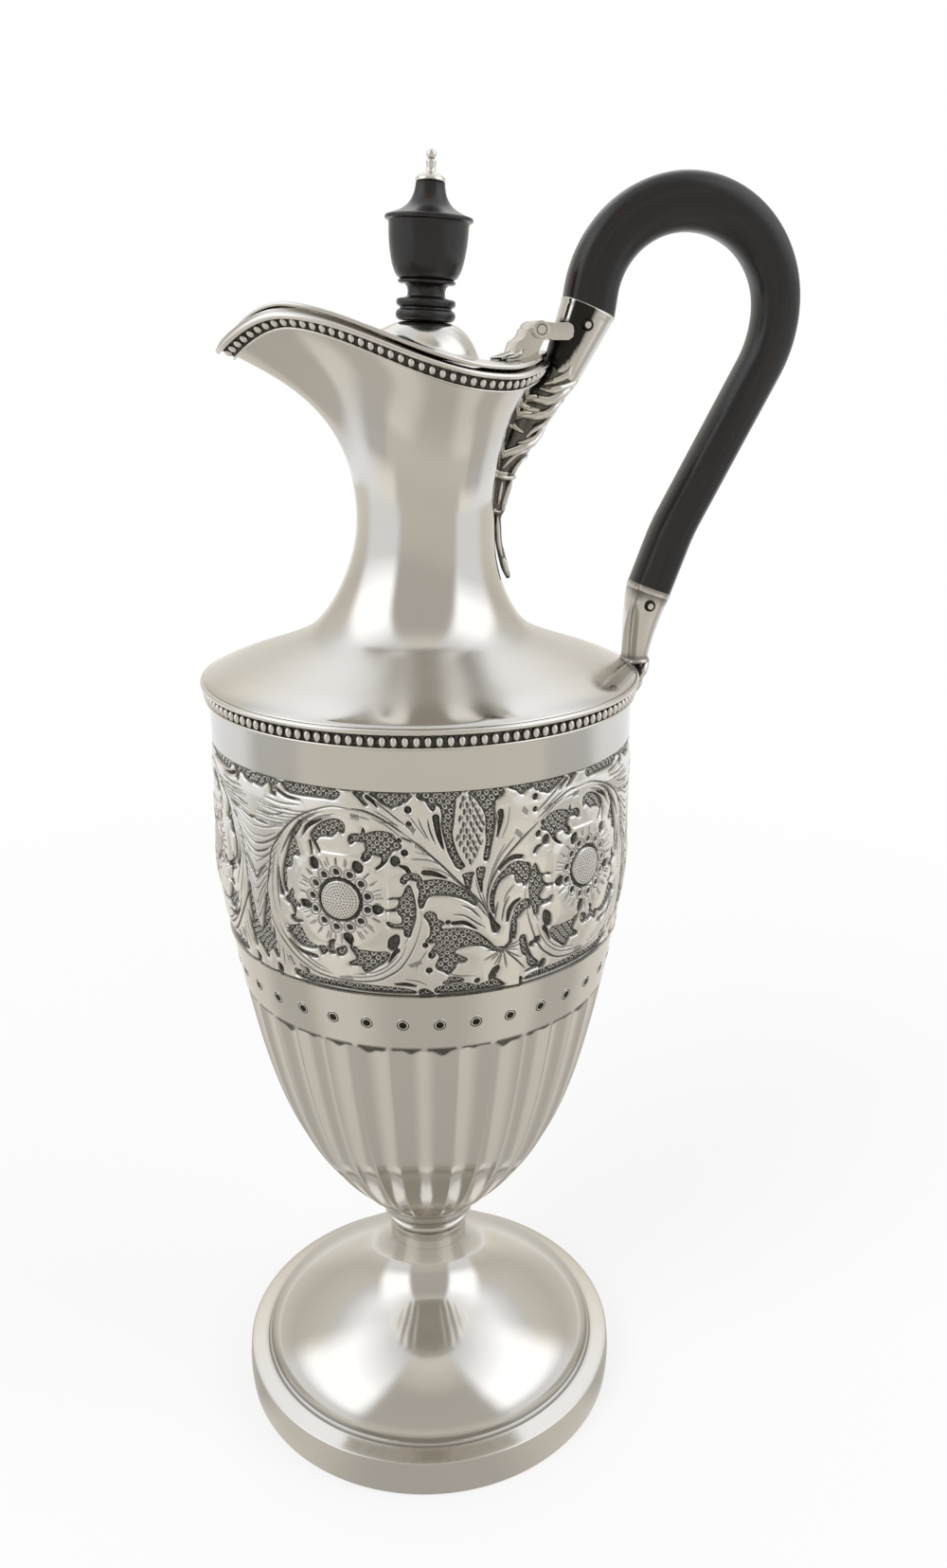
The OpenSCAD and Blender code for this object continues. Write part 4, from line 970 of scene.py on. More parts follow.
def frieze_panels():
    """Three closed panels of the frieze, with the normals that make their seams run on."""
    columns, rows = 541, 249
    x = np.linspace(*CELL, columns)[:, None] + np.zeros((1, rows))
    y = np.linspace(*DRAWN_Y, rows)[None, :] + np.zeros((columns, 1))
    high, dark, punched = frieze_relief(x, y)
    u, v = punch_place(x, y)
    ring = np.hypot(u - np.round(u), v - np.round(v))
    rim = (1 - ease(np.abs(ring - 0.34), 0.05, 0.16)) * punched
    high = high + 0.24 * rim
    bottom, top = FRIEZE_Z + 0.04, FRIEZE_TOP - 0.03
    z = np.linspace(bottom, top, rows)
    level = np.interp(z, [147, 148, 150, 156, 162, 168, 174, 186, 190, 195, 197.2, 197.6],
                      [50.6, 50.8, 51.3, 52.5, 53.1, 53.3, 52.9, 52.9, 53.0, 52.7, 52.5, 52.5])
    level = np.convolve(np.pad(level, 6, mode="edge"), np.ones(13) / 13, "valid")
    deep = np.interp(z, [147, 147.6, 149, 160, 175, 195, 197.2, 197.6],
                     [0.5, 0.8, 1.05, 1.1, 1.1, 1.05, 0.8, 0.6])
    r = level[None] - deep[None] + high
    turn = np.radians((x[:, 0] / PER_DEGREE) - DRAWN_LEFT - VIEW_AT)
    step = turn[1] - turn[0]
    round_r = np.vstack([r[-2:-1], r, r[1:2]])
    slope_a = (round_r[2:] - round_r[:-2]) / (2 * step) / r
    slope_z = np.gradient(r, z, axis=1)
    tone = np.concatenate([dark, np.ones((columns, 2))], 1)[:, ::-1]
    punch = np.concatenate([np.stack([u, v, punched], -1), np.zeros((columns, 2, 3))], 1)
    punch = punch[:, ::-1].reshape(-1, 3)
    panels = []
    for k in range(3):
        a = (turn + k * TAU / 3)[:, None]
        face = np.stack([np.cos(a) + 0 * r, np.sin(a) + 0 * r], -1)
        side = np.stack([-np.sin(a) + 0 * r, np.cos(a) + 0 * r], -1)
        outer = np.concatenate([r[..., None] * face, (z[None] + 0 * r)[..., None]], -1)
        normal = unit(np.concatenate([face - slope_a[..., None] * side, -slope_z[..., None]], -1))
        back_z = (np.array([top, bottom])[None] + 0 * r[:, :2])[..., None]
        back = np.concatenate([np.array([51.42, 50.08])[None, :, None] * face[:, :2], back_z], -1)
        inward = np.concatenate([-face[:, :2], 0 * face[:, :2, :1]], -1)
        rings = np.concatenate([outer, back], 1)[:, ::-1]
        normals = np.concatenate([normal, inward], 1)[:, ::-1].reshape(-1, 3)
        panels.append((tube(rings, tone, wrap=False, caps=True), normals, punch))
    return panels


# Shoulder, neck and spout
STRIP_W = 4.7
LIP_RISE = STRIP_W * 0.47
ROOT_SLOPE = 29
ROOT_CURVE = (
    (ROOT_R, NECK_Z), (ROOT_R - 7 * cos_d(ROOT_SLOPE), NECK_Z + 7 * sin_d(ROOT_SLOPE)),
    (WAIST_R, WAIST_Z - 14), (WAIST_R, WAIST_Z))
SHOULDER_CURVE = (
    (SHOULDER_R, SHOULDER_Z), (SHOULDER_R, SHOULDER_Z + 1.2),
    (ROOT_R + 9 * cos_d(ROOT_SLOPE), NECK_Z - 9 * sin_d(ROOT_SLOPE)), (ROOT_R, NECK_Z))


def spout_angle(n):
    """n angles round the mouth, closer together at the spout."""
    a = np.arange(n) * 360 / n - 180
    return a - 34 * sin_d(a)


def spout_bump(a):
    """How much of the spout there is at an angle: 1 in its middle."""
    return np.exp(-((np.abs(a) / 26.5) ** 1.5))


def lip_lean(a):
    """How steeply the sheet rises at the lip, in degrees."""
    return 72 - 44 * np.exp(-((np.asarray(a) / 30) ** 2))


def bead_r(a):
    return mix(27.8, 46.8, spout_bump(a))


def lip_height(x):
    """Height of the lip's beads: highest at the crest behind the spout's tip, lowest short of the hinge."""
    crest, low, tip, back = LEAN - 33.93, LEAN + 15.568, LEAN - 46.8, LEAN + 27.8
    front = mix(6.4, 13.1, sin_d(90 * part_way(x, tip, crest) ** 0.9))
    middle = 13.1 * (1 + cos_d(180 * part_way(x, crest, low) ** 0.85)) / 2
    rear = 3 * (1 - cos_d(90 * part_way(x, low, back)))
    return LIP_Z + np.where(x < crest, front, np.where(x < low, middle, rear))


def lip_way(a):
    return np.stack([cos_d(lip_lean(a)), sin_d(lip_lean(a))], -1)


def lip_edge(a):
    """Radius and height of the sheet's edge."""
    base = np.stack([bead_r(a) - 1.01, lip_height(LEAN - bead_r(a) * cos_d(a))], -1)
    return base + LIP_RISE * lip_way(a)


def flare_curve(a):
    """The wall from the waist to the lip, at each angle."""
    top = lip_edge(a)
    foot = np.broadcast_to(np.array([WAIST_R, WAIST_Z]), top.shape)
    run = np.linalg.norm(top - foot, axis=-1, keepdims=True) * 0.28
    rise = np.stack([0 * top[..., 1], (top[..., 1] - WAIST_Z) * 0.67], -1)
    return foot, foot + rise, top - run * lip_way(a), top


def lean_at(z):
    """How far the neck's middle has moved towards the handle at a height."""
    return LEAN * (1 - cos_d(180 * part_way(z, NECK_Z, WAIST_Z))) / 2


def around(p, a):
    """A point of the neck, from its radius and height in the plane at angle a."""
    p = np.asarray(p, float)
    r, z = p[..., 0], p[..., 1]
    return np.stack([lean_at(z) - r * cos_d(a), -r * sin_d(a), z + 0 * a], -1)


def behind(points):
    """Neck points drawn in a little at the back, where the leaf lies on them."""
    z = points[..., 2]
    share = ease(z, 226, 244) * (1 - ease(z, 252, 272))
    back = ease(points[..., 0], 4, 17)
    return points - np.stack([1.5 * share * back, 0 * z, 0 * z], -1)


def neck_rings(n, off, shoulder_rows=22, root_rows=20, flare_rows=44):
    """Rings of the sheet from the border to the lip, moved off its outer face."""
    a = spout_angle(n)
    rings = []
    for line, shares in ((SHOULDER_CURVE, np.linspace(0, 1, shoulder_rows)[:-1] ** 1.3),
                         (ROOT_CURVE, np.linspace(0, 1, root_rows)[:-1])):
        rings += [around(np.broadcast_to(along(line, t, off), (n, 2)), a) for t in shares]
    flare = flare_curve(a)
    rings += [around(along(flare, np.full(n, t), off), a) for t in np.linspace(0, 1, flare_rows)]
    return behind(np.array(rings))


def neck():
    """Shoulder, neck and spout: one sheet from the border to the lip."""
    n = 288
    outer, inner = neck_rings(n, 0.0), neck_rings(n, -SHEET, 12, 10, 22)
    dark = np.zeros(len(outer) + len(inner))
    dark[len(outer) - 1] = 0.3
    return tube(np.concatenate([outer, inner[::-1]]), dark)


def rubbed_root(points):
    """Where the polish is worn soft: round the bend between shoulder and neck."""
    z = points[:, 2]
    amount = ease(z, 213.0, 216.5) * (1 - ease(z, 219.5, 233.0))
    return np.repeat(amount[:, None], 3, axis=1)


def strip_at(a, down, out):
    """A point of the strip round the lip, from its distance down it and out of it, in millimetres."""
    c = flare_curve(a)
    t = 1 - down / (3 * np.linalg.norm(c[3] - c[2], axis=-1))
    return around(along(c, t, 0.1 + out), a)


def lip_strip():
    """Strip round the lip: a rolled wire above, a channel for the beads darkened with painted shade, and a
    thin wire below.
    """
    section = [(0.0, -0.05)] + oval_arc(0.62, 0.55, -0.62, 0.75, 90, -75, 9)
    section += [(1.25, 0.22), (1.5, 0.18), (2.6, 0.18), (3.75, 0.18), (3.98, 0.2)]
    section += oval_arc(4.32, 0.3, -0.33, 0.5, 80, -80, 7) + [(STRIP_W, -0.05)]
    tones = [0.1] + [0.0] * 8 + [0.35, 0.9, 1, 1, 1, 1, 0.5] + [0.0] * 5 + [0.6, 0.6]
    a = spout_angle(420)
    rings = np.array([strip_at(a, d, o) for d, o in section])
    return tube(rings[::-1], np.array(tones)[::-1])


def lip_beads(count=86):
    """Beads an equal way apart along the lip's channel, each turned to face out of it."""
    row, floor_out = 2.62, 0.2
    a = np.linspace(-180, 180, 2881)
    run = run_along(strip_at(a, row, floor_out))
    at = np.interp((np.arange(count) + 0.5) * run[-1] / count, run, a)
    # Each bead carries painted shade on its half toward the channel.
    one = ellipsoid(12, 8, 0.9)
    made = []
    for b in at:
        b = np.array([b])
        centre, low, beside = (strip_at(c, d, floor_out)[0] for c, d in ((b, row), (b, 3.0), (b + 0.4, row)))
        down = unit(low - centre)
        side = beside - centre
        side = unit(side - (side @ down) * down)
        face = np.cross(side, down)
        face = face if face @ (strip_at(b, row, 1.0)[0] - centre) > 0 else -face
        made.append(moved(one, np.stack([side * 0.83, down * 1.08, face * 0.78], 1), centre))
    return join(made)


def shoulder_strip():
    """Border round the shoulder: a thin wire, a channel for the beads darkened with painted shade, and a
    thick wire over it.
    """
    foot = BORDER_Z + 0.06
    profile = [(BAND_R - 1, foot), (BAND_R + 0.35, foot)]
    profile += oval_arc(BAND_R + 0.55, 207.5, 0.42, -0.36, 15, 165, 7)
    profile += [(52.85, 207.95), (52.85, 209.2), (53.0, 210.5)]
    profile += oval_arc(53.8, 211.33, 0.6, -0.62, 10, 178, 11)
    profile += [(SHOULDER_R, SHOULDER_Z - 0.05), (BAND_R - 1, SHOULDER_Z - 0.6)]
    tones = [0, 0.5] + [0] * 7 + [1, 1, 1] + [0.5] + [0] * 10 + [0.2, 0]
    return lathe(profile, 288, np.array(tones, float))


def shoulder_beads(count=136):
    """Upright oval beads in the shoulder's channel."""
    # Each bead carries painted shade on its lower half.
    one = ellipsoid(12, 8, 0.9)
    made = []
    for k in range(count):
        face, side = out_and_round((k + 0.5) * TAU / count)
        turn = np.stack([side * 0.88, np.array([0, 0, 1.27]), face * 0.88], 1)
        made.append(moved(one, turn, face * 53.02 + np.array([0, 0, 209.18])))
    return join(made)


# Lid
LID_DOME_R = 13.0


def plate_z(a, share):
    """Height of the lid's plate, from its angle and its share of the way out to the beads."""
    inner = LIP_RISE * sin_d(lip_lean(a)) + SHEET * cos_d(lip_lean(a))
    return lip_height(LEAN - share * bead_r(a) * cos_d(a)) + inner + 0.3 + 1 + 1.1 * (1 - share**2)


def lid_r(a):
    """How far out the lid reaches at an angle."""
    return lip_edge(a)[..., 0] - 3 * spout_bump(a) ** 2


def blend_up(a, b, k):
    """The higher of two surfaces, with a fillet where they are less than k apart."""
    h = np.maximum(0, k - np.abs(a - b)) / k
    return np.maximum(a, b) + h * h * k / 4


def lid_rings(n, down, dome_rows, plate_rows):
    """Rings of the lid from under the finial to its edge, moved down from its top."""
    a = spout_angle(n)
    rings = []
    reach = lid_r(a)
    for s in np.linspace(0.02, 1, dome_rows):
        r = LID_DOME_R * math.sin(s * math.pi / 2)
        x, y = DOME_X - r * cos_d(a), -r * sin_d(a)
        flat = plate_z(a, np.hypot(x - LEAN, y) / reach)
        top = part_way(r, 4.28, LID_DOME_R)
        dome = LIP_Z - (x - DOME_X) * math.tan(math.radians(FINIAL_LEAN)) * (1 - top)
        dome = dome + (SEAT_Z - LIP_Z) * np.sqrt(1 - top**2)
        soft = 1.1 + 4.0 * np.maximum(0, cos_d(a)) ** 2
        rings.append(np.stack([x, y, blend_up(dome, flat, soft) - down], -1))
    foot = np.stack([DOME_X - LID_DOME_R * cos_d(a), -LID_DOME_R * sin_d(a)], -1)
    rim = np.stack([LEAN - reach * cos_d(a), -reach * sin_d(a)], -1)
    for s in np.linspace(0, 1, plate_rows)[1:]:
        p = mix(foot, rim, s)
        share = np.hypot(p[:, 0] - LEAN, p[:, 1]) / reach
        rings.append(np.concatenate([p, (plate_z(a, share) - down)[:, None]], 1))
    return np.array(rings)


def lid():
    """Lid: a thin plate that follows the lip, rolled at its edge, with a round dome under the finial."""
    top, under = lid_rings(240, 0.0, 34, 26), lid_rings(240, SHEET, 14, 12)
    edge = (top[-1] + under[-1]) / 2
    way = unit((edge - edge.mean(0)) * [1, 1, 0])
    up = np.array([0, 0, 0.32])
    rolled = [edge + 0.30 * way + up, edge + 0.42 * way, edge + 0.30 * way - up]
    return tube(np.concatenate([top, rolled, under[::-1]])[::-1], wrap=False, caps=True)


# Finial
def on_finial(one, height):
    """A shell set on the leaning axis of the finial."""
    c, s = cos_d(FINIAL_LEAN), sin_d(FINIAL_LEAN)
    points, faces, dark = one
    x, y, z = (points + np.array([0, 0, height])).T
    return np.stack([c * x + s * z + DOME_X, y, -s * x + c * z + SEAT_Z], 1), faces, dark


def urn():
    """Turned ebony urn: flared cover, fine rim, cup, waist, ring and foot."""
    h, r, foot = 29.4, 10.0, 6.9
    rod = 1.15
    up = [(rod, h), (r / 3 - 0.25, h), (r / 3, h - 0.25)]
    up += curve([(r / 3, h * 0.975), (r * 0.383, h * 0.82), (r * 0.66, h * 0.79), (r * 0.965, h * 0.757)],
                18)
    rim = [(0.99, 0.752), (1, 0.745), (1, 0.731), (0.99, 0.725), (0.925, 0.716), (0.912, 0.700)]
    up += (np.array(rim) * [r, h]).tolist()
    cup = [(0.907, 0.667), (0.904, 0.63), (0.897, 0.59), (0.885, 0.551), (0.866, 0.505), (0.84, 0.456),
           (0.804, 0.405), (0.756, 0.36), (0.70, 0.327), (0.64, 0.309)]
    up += through(np.array(cup) * [r, h], 3).tolist()
    up += oval_arc(r * 0.60, h * 0.287, 0.62, 0.48, 0, 180, 8)
    up += curve([(r * 0.50, h * 0.268), (4.3, h * 0.245), (4.25, h * 0.225), (4.3, h * 0.195)], 8)
    up += curve([(4.35, h * 0.185), (4.5, h * 0.172), (5.2, h * 0.168), (foot * 0.86, h * 0.165)], 7)
    up += oval_arc(foot * 0.93, h * 0.135, 0.4, 0.75, 10, 170, 8) + [(foot * 0.86, h * 0.098)]
    up += oval_arc(foot - 1.31, 1.31, 1.31, 1.31, 20, 180, 12) + [(rod, 0.0)]
    return on_finial(lathe(up[::-1], 96), 0.05)


def cap():
    """Silver cap: a small dome, a fluted-in neck, a swelling and a ball."""
    h, ball, rod = 6.6, 1.14, 1.16
    up = [(rod, 0.0), (3.3, 0.0), (3.42, 0.2), (3.35, 0.5)]
    up += curve([(3.25, 0.65), (3.0, 1.15), (2.3, 1.4), (1.9, 1.55)], 8)
    up += curve([(1.8, 1.62), (1.2, 1.8), (0.98, 2.1), (0.95, 2.7)], 8)
    up += through([(0.98, 3.0), (1.08, 3.4), (1.15, 3.85), (1.08, 4.25), (0.74, 4.53)], 3).tolist()
    up += oval_arc(0, h - ball, ball, ball, 142, 1, 14) + [(0.0, h), (0.0, 1.0), (rod, 1.0)]
    dark = [0.45 if 4.45 < z < 4.6 else 0 for _, z in up]
    return on_finial(lathe(up, 48, np.array(dark)), 29.5)


# Grip
ARCH_CENTRE = np.array([64.15, 297.23])
ARCH_R = 23.1
BEND_CENTRE = np.array([57.25, 297.23])
BEND_R = 30.03
FOOT_BEND_R = 55.44
LIMB_LEAN = 27.5
LIMB_END = np.array([65.68, 248.45])
THICK_TOP, THICK_SIDE, THICK_LIMB, THICK_FOOT = 12.5, 10.82, 10.4, 10.6


def grip_stations():
    """Points down the middle of the grip, the direction to the inside of its bend, and its thickness."""
    rows = [(UPPER_JOINT, (cos_d(UPPER_TILT), -sin_d(UPPER_TILT)), THICK_TOP / cos_d(14))]

    def arc(centre, r, start, end, n, inward, t0, t1, first=0, swell=0.0):
        for i in range(first, n + 1):
            a = mix(start, end, i / n)
            out = np.array([cos_d(a), sin_d(a)])
            thick = mix(t0, t1, i / n) + swell * math.sin(math.pi * i / n) ** 2
            rows.append((centre + r * out, inward * out, thick))

    arc(ARCH_CENTRE, ARCH_R, 172, 0, 56, -1, THICK_TOP, THICK_SIDE, swell=1.5)
    arc(BEND_CENTRE, BEND_R, 0, -LIMB_LEAN, 10, -1, THICK_SIDE, THICK_LIMB, 1)
    start = BEND_CENTRE + BEND_R * np.array([cos_d(LIMB_LEAN), -sin_d(LIMB_LEAN)])
    inward = np.array([-cos_d(LIMB_LEAN), sin_d(LIMB_LEAN)])
    for i in range(1, 14):
        rows.append((mix(start, LIMB_END, i / 14), inward, THICK_LIMB))
    centre = LIMB_END + FOOT_BEND_R * np.array([cos_d(LIMB_LEAN), -sin_d(LIMB_LEAN)])
    arc(centre, FOOT_BEND_R, 180 - LIMB_LEAN, 180 - LOWER_TILT, 5, 1, THICK_LIMB, THICK_FOOT)
    rows.append((LOWER_JOINT, (-cos_d(LOWER_TILT), sin_d(LOWER_TILT)), THICK_FOOT))
    return rows


def grip():
    """Ebony grip: rounded sections along an arch, a straight limb and a turned-in foot, and its grain."""
    sides = 48
    rings, grain, run, last = [], [], 0.0, np.array(UPPER_JOINT)
    for centre, inward, thick in grip_stations():
        section = oval(sides, thick / 2, GRIP_W / 2, 2.6)
        rings.append(in_plane(centre, inward, section))
        run += np.linalg.norm(np.asarray(centre) - last)
        last = np.asarray(centre, float)
        grain.append(np.column_stack([section * MM, np.full(sides, run * MM)]))
    return tube(rings, wrap=False, caps=True), np.concatenate(grain)


# Sockets
def loft(stations, sides=40):
    """Sections in the handle's plane: (x, z, tilt of the axis, length along the section, width, power)."""
    rings = [in_plane((x, z), (cos_d(tilt), -sin_d(tilt)), oval(sides, l / 2, w / 2, power))
             for x, z, tilt, l, w, power in stations]
    return np.array(rings)


def pin_rings(joint, tilt, out):
    """Dark seams round both ends of the cross pin."""
    x, z = joint[0] - PIN_DEEP * sin_d(tilt), joint[1] - PIN_DEEP * cos_d(tilt)
    seam = lathe([(0.74, 0.0), (0.86, 0.06), (1.08, 0.03), (1.24, -0.15), (1.42, -0.55), (1.42, -1.1),
                  (0.74, -1.1)], 32, 1.2)
    return [sideways(seam, side, x, out, z) for side in (-1, 1)]


def upper_socket():
    """Socket under the grip: a fine collar at the joint, a taper into the leaf, and painted shade down its
    inner side.
    """
    top = np.array((*UPPER_JOINT, UPPER_TILT, 12.9, 11.5, 2.6))
    foot = np.array((34.0, 281.9, LEAF_TILT, 8.9, 10.9, 2.5))
    shares = np.array([0.004, 0.015, 0.05, 0.062, 0.12, 0.2, 0.28, 0.36, 0.44, 0.52, 0.6, 0.68, 0.76, 0.84,
                       0.91, 0.96, 0.995])
    rows = mix(top, foot, shares[:, None])
    grow = np.interp(shares, [0.004, 0.015, 0.05, 0.062, 0.9, 0.96, 1.0],
                     [0, 0.25, 0.28, 0.04, 0, -0.3, -1.0])
    rows[:, 3:5] += grow[:, None]
    across = oval(96, 1, 1, 2.6)[:, 0]
    # The band of painted shade down the inner side.
    left = np.interp(shares, [0.05, 0.3, 0.42], [-0.72, -0.72, -1.2])[:, None]
    right = np.interp(shares, [0.05, 0.5, 0.8, 1.0], [0.12, 0.10, -0.1, -0.5])[:, None]
    dark = ease(across, left - 0.05, left + 0.05) * (1 - ease(across, right - 0.12, right + 0.08))
    dark = 1.3 * dark * ease(shares, 0.0, 0.02)[:, None]
    plain = tube(loft(rows, 96)[::-1], dark[::-1], wrap=False, caps=True)
    return join([plain] + pin_rings(UPPER_JOINT, UPPER_TILT, SOCKET_SIDE))


def lower_socket():
    """Socket between the grip and the shoulder, hollow-sided, with a fillet at its foot."""
    x = 55.55
    rows = [(*LOWER_JOINT, LOWER_TILT, 10.75, 11.5, 2.6), (58.4, 229.7, 19.5, 10.9, 11.6, 2.6),
            (58.3, 229.4, 19, 10.5, 11.3, 2.6), (57.6, 227.0, 17, 9.9, 11.0, 2.6),
            (56.9, 223.5, 12, 8.9, 10.2, 2.5), (56.3, 219.8, 8, 7.9, 9.4, 2.4),
            (55.9, 216.6, 4, 7.0, 8.8, 2.4), (55.65, 214.3, 1, 6.5, 8.5, 2.3), (x, 213.1, 0, 6.4, 8.5, 2.2),
            (x, 212.6, 0, 7.3, 9.6, 2.2), (x, 212.15, 0, 7.5, 9.8, 2.2)]
    dark = np.array([0.6, 0, 0.7, 0, 0, 0, 0, 0.1, 0.7, 0.2, 0.6])
    plain = tube(loft(rows)[::-1], dark[::-1], wrap=False, caps=True)
    return join([plain] + pin_rings(LOWER_JOINT, LOWER_TILT, SOCKET_SIDE))


# Leaves
# Edges of the leaf on the back of the neck, in the handle's plane, going down: X and Z
LEAF_BACK = numbers("40.6,285.6 39.2,283.4 36.4,278.8 32.9,274 29.6,269.2 26.6,264.3 23.4,259.4 22.6,257.6 "
                    "21.7,253.8 21.1,251 20.2,249.2 20.3,246.6 20.5,243.2 21.1,240.9 22.6,235.2 22.3,234.1")
LEAF_FRONT = numbers("31,285.6 30,283.4 28.2,281.3 24.7,277.1 22.3,273.3 20.4,268.5 18,264.3 16.5,260.4 "
                     "16.3,257.6 16.4,253.8 17,251.2 18.2,249.2 18.6,246.2 18.9,242.6 20.2,237.1 "
                     "21.6,234.2")
LEAF_HALF = [5.3, 5.5, 5.7, 5.9, 5.8, 5.3, 4.7, 4.0, 3.5, 2.9, 2.0, 1.3, 1.0, 0.9, 1.1, 0.5]
# Its veins and curls as the side shows them: half width, height off the side, then points of X and Z
LEAF_RIDGES = [
    "1.15 1.3 37.2,279.9 35.2,279 33,277.6 30,276.4 27.4,277 25.4,276.9 24.4,275.5 25.6,274.7 28,274.3",
    "1.05 1.2 34.6,276.6 32.8,275.9 30.1,273.8 27.1,273.1 24,273.4 22.3,272.2 22.5,270.4 24.4,269.4",
    "0.65 0.9 33,274.6 31.2,273.4 29.3,271.4 26.7,269.9 25,268.3",
    "0.55 0.8 31,271.6 28.8,270.4 27.3,268.5 24.7,267.3 23,267",
    "1 1.1 30.3,270.2 28.8,268.6 26.5,266.8 23.2,265.6 20.1,264.4 17.9,262.9 17,261.3 18.7,260.2 20.7,259.9",
    "0.5 0.8 25.6,265.2 23.1,264.5 21.2,263 19.6,261.2", "0.5 0.8 26,263.9 23.9,262.8 22.6,261.2 21.8,259.8",
    "0.6 0.9 16.6,260.3 18.8,259.3 21.9,258.8 23.3,259",
    "0.6 0.8 17.2,259.3 17.1,255.8 17.5,252.3 18.4,250.9 19.6,250.9",
    "0.7 0.9 22.1,258.6 21.1,255.7 20.3,253 19.9,251.1", "0.45 0.6 19.6,258 19.2,255.2 18.9,252.6",
    "0.8 0.9 35.6,284.2 34.6,282.4 31.8,281 29.4,280.2",
    "0.9 0.9 38.6,282.6 36.8,280.4 33.6,279.4 30.6,278.8 28.4,279.2",
    "0.5 0.5 18.9,249.6 19.2,246.4 19.6,242.6 20.4,239.6", "0.6 0.5 20.6,239.4 21.4,236.8 22,234.9",
]


def neck_leaf():
    """Acanthus on the back of the neck: a tapering core with curled lobes and raised veins on both sides."""
    rows = 96
    front, back = spaced(through(LEAF_FRONT, 8), rows), spaced(through(LEAF_BACK, 8), rows)
    given = -LEAF_BACK[:, 1]
    half = np.interp(-back[:, 1], given, LEAF_HALF)
    rings, tones = [], []
    for f, b, wide, share in zip(front, back, half, np.linspace(0, 1, rows)):
        half_l = np.linalg.norm(b - f) / 2
        section = oval(40, max(half_l, 0.3), wide, 2.3)
        section[:, 1] *= 1 - 0.06 * (1 + np.sin(section[:, 0] * 2.1 - share * 26))
        rings.append(in_plane((f + b) / 2, (b - f) / max(2 * half_l, 0.3), section))
        edge = ease(section[:, 0] / max(half_l, 0.3), 0.55, 0.95)
        tones.append(np.clip(0.85 - 0.7 * edge, 0, 1))
    made = [tube(np.array(rings)[::-1], np.array(tones)[::-1], wrap=False, caps=True)]
    for text in LEAF_RIDGES:
        wide, high, line = text.split(" ", 2)
        wide, high, line = float(wide), float(high), numbers(line)
        x, down = line[:, 0], -line[:, 1]
        near_f, near_b = (np.interp(down, -side[:, 1], side[:, 0]) for side in (front, back))
        q = np.clip((2 * x - near_f - near_b) / (near_b - near_f), -1, 1)
        round_off = np.clip(1 - np.abs(q) ** 2.3, 0.05, 1) ** (1 / 2.3)
        side_y = np.interp(down, given, LEAF_HALF) * round_off + 0.1
        for side in (-1, 1):
            path = np.column_stack([x, side * side_y, -down])
            out = np.column_stack([0.55 * q, side * (1.05 - 0.5 * np.abs(q)), 0 * q])
            made.append(blade(path, [0.35 * wide, wide, wide, wide, 0.4 * wide],
                              [0.4 * high, high, high, high, 0.4 * high], out, 12, 0.75))
    return join(made)


def drop_leaf():
    """Leaf under the lower socket, hanging over the beads to a small knot on the plain band."""
    face = (1, 0, 0.15)
    path = numbers("56.6,0,213.2 56.9,0,210.4 56.2,0,207.2 54.9,0,204.2 53.9,0,201.4 53.1,0,199")
    rib = numbers("58,0,213 58.5,0,210.2 57.5,0,207 56,0,204 54.8,0,201.2 53.6,0,199.2")
    made = [blade(path, [3.6, 4.2, 3.5, 2.5, 1.5, 0.6], [1.6, 1.7, 1.4, 1.1, 0.8, 0.4], face, 24, 0.7),
            blade(rib, [0.8, 0.7, 0.6, 0.5, 0.45, 0.3], [0.6, 0.6, 0.5, 0.4, 0.4, 0.2], face, 12, 0.9)]
    curl = numbers("57.2,1.2,213 57.6,3.2,211.6 56.7,4.5,209.6 55.4,4.4,207.8")
    low = numbers("56.9,0.9,208.4 56.6,2.3,206.6 55.2,2.9,204.6 54.2,2.6,203.2")
    for side in (-1, 1):
        for lobe, half_w, half_t in ((curl, [0.6, 1.1, 1.2, 0.4], [0.6, 0.9, 0.8, 0.3]),
                                     (low, [0.5, 0.9, 0.9, 0.3], [0.5, 0.7, 0.6, 0.3])):
            made.append(blade(lobe * [1, side, 1], half_w, half_t, (0.8, 0.6 * side, 0.1), 12, 0.9))
    made.append(moved(ellipsoid(14, 8), np.diag([1.0, 1.15, 1.3]), (53.55, 0, 199.4)))
    return join(made)


# Hinge
def plate(outline, width):
    """A flat outline in the handle's plane given a width across it."""
    p = np.asarray(outline, float)
    rings = np.array([np.stack([p[:, 0], np.full(len(p), y), p[:, 1]], 1) for y in (width / 2, -width / 2)])
    return tube(rings, wrap=False, caps=True)


def barrel(x, z, r, y0, y1):
    """A round bar across the handle's plane, with eased ends."""
    a = np.arange(32) * TAU / 32
    rows = [(y0, r * 0.86), (y0 + 0.12, r), (y1 - 0.12, r), (y1, r * 0.86)]
    rings = np.array([np.stack([x + q * np.cos(a), 0 * a + y, z + q * np.sin(a)], 1) for y, q in rows])
    return tube(rings[::-1], wrap=False, caps=True)


def hinge_lug():
    """Fixed half of the hinge: two ears and the block between them and the socket, left plain."""
    x, z = HINGE
    made = [plate([(30.35, 289.9), (34.3, 289.9), (35.3, 290.6), (35.5, 291.9), (35.3, 293.0), (34.3, 293.7),
                   (30.35, 293.7)], 15.3)]
    collar = lathe([(1.0, 0.0), (1.15, 0.05), (1.3, 0.0), (1.3, -0.3), (1.0, -0.3)], 28, 0.9)
    web = plate([(x, 290.5), (31.0, 289.9), (31.0, 293.7), (x, 293.9)], 1.3)
    for side in (-1, 1):
        y = side * 7.05
        made.append(barrel(x, z, KNUCKLE_R, y - 0.68, y + 0.68))
        made.append(sideways(collar, side, x, 7.74, z))
        made.append(moved(web, np.eye(3), (0, y, 0)))
    return join(made)


def on_lid(x):
    """Height of the lid's top in the handle's plane."""
    a = np.array([180.0])
    return float(plate_z(a, (x - LEAN) / lid_r(a))[0])


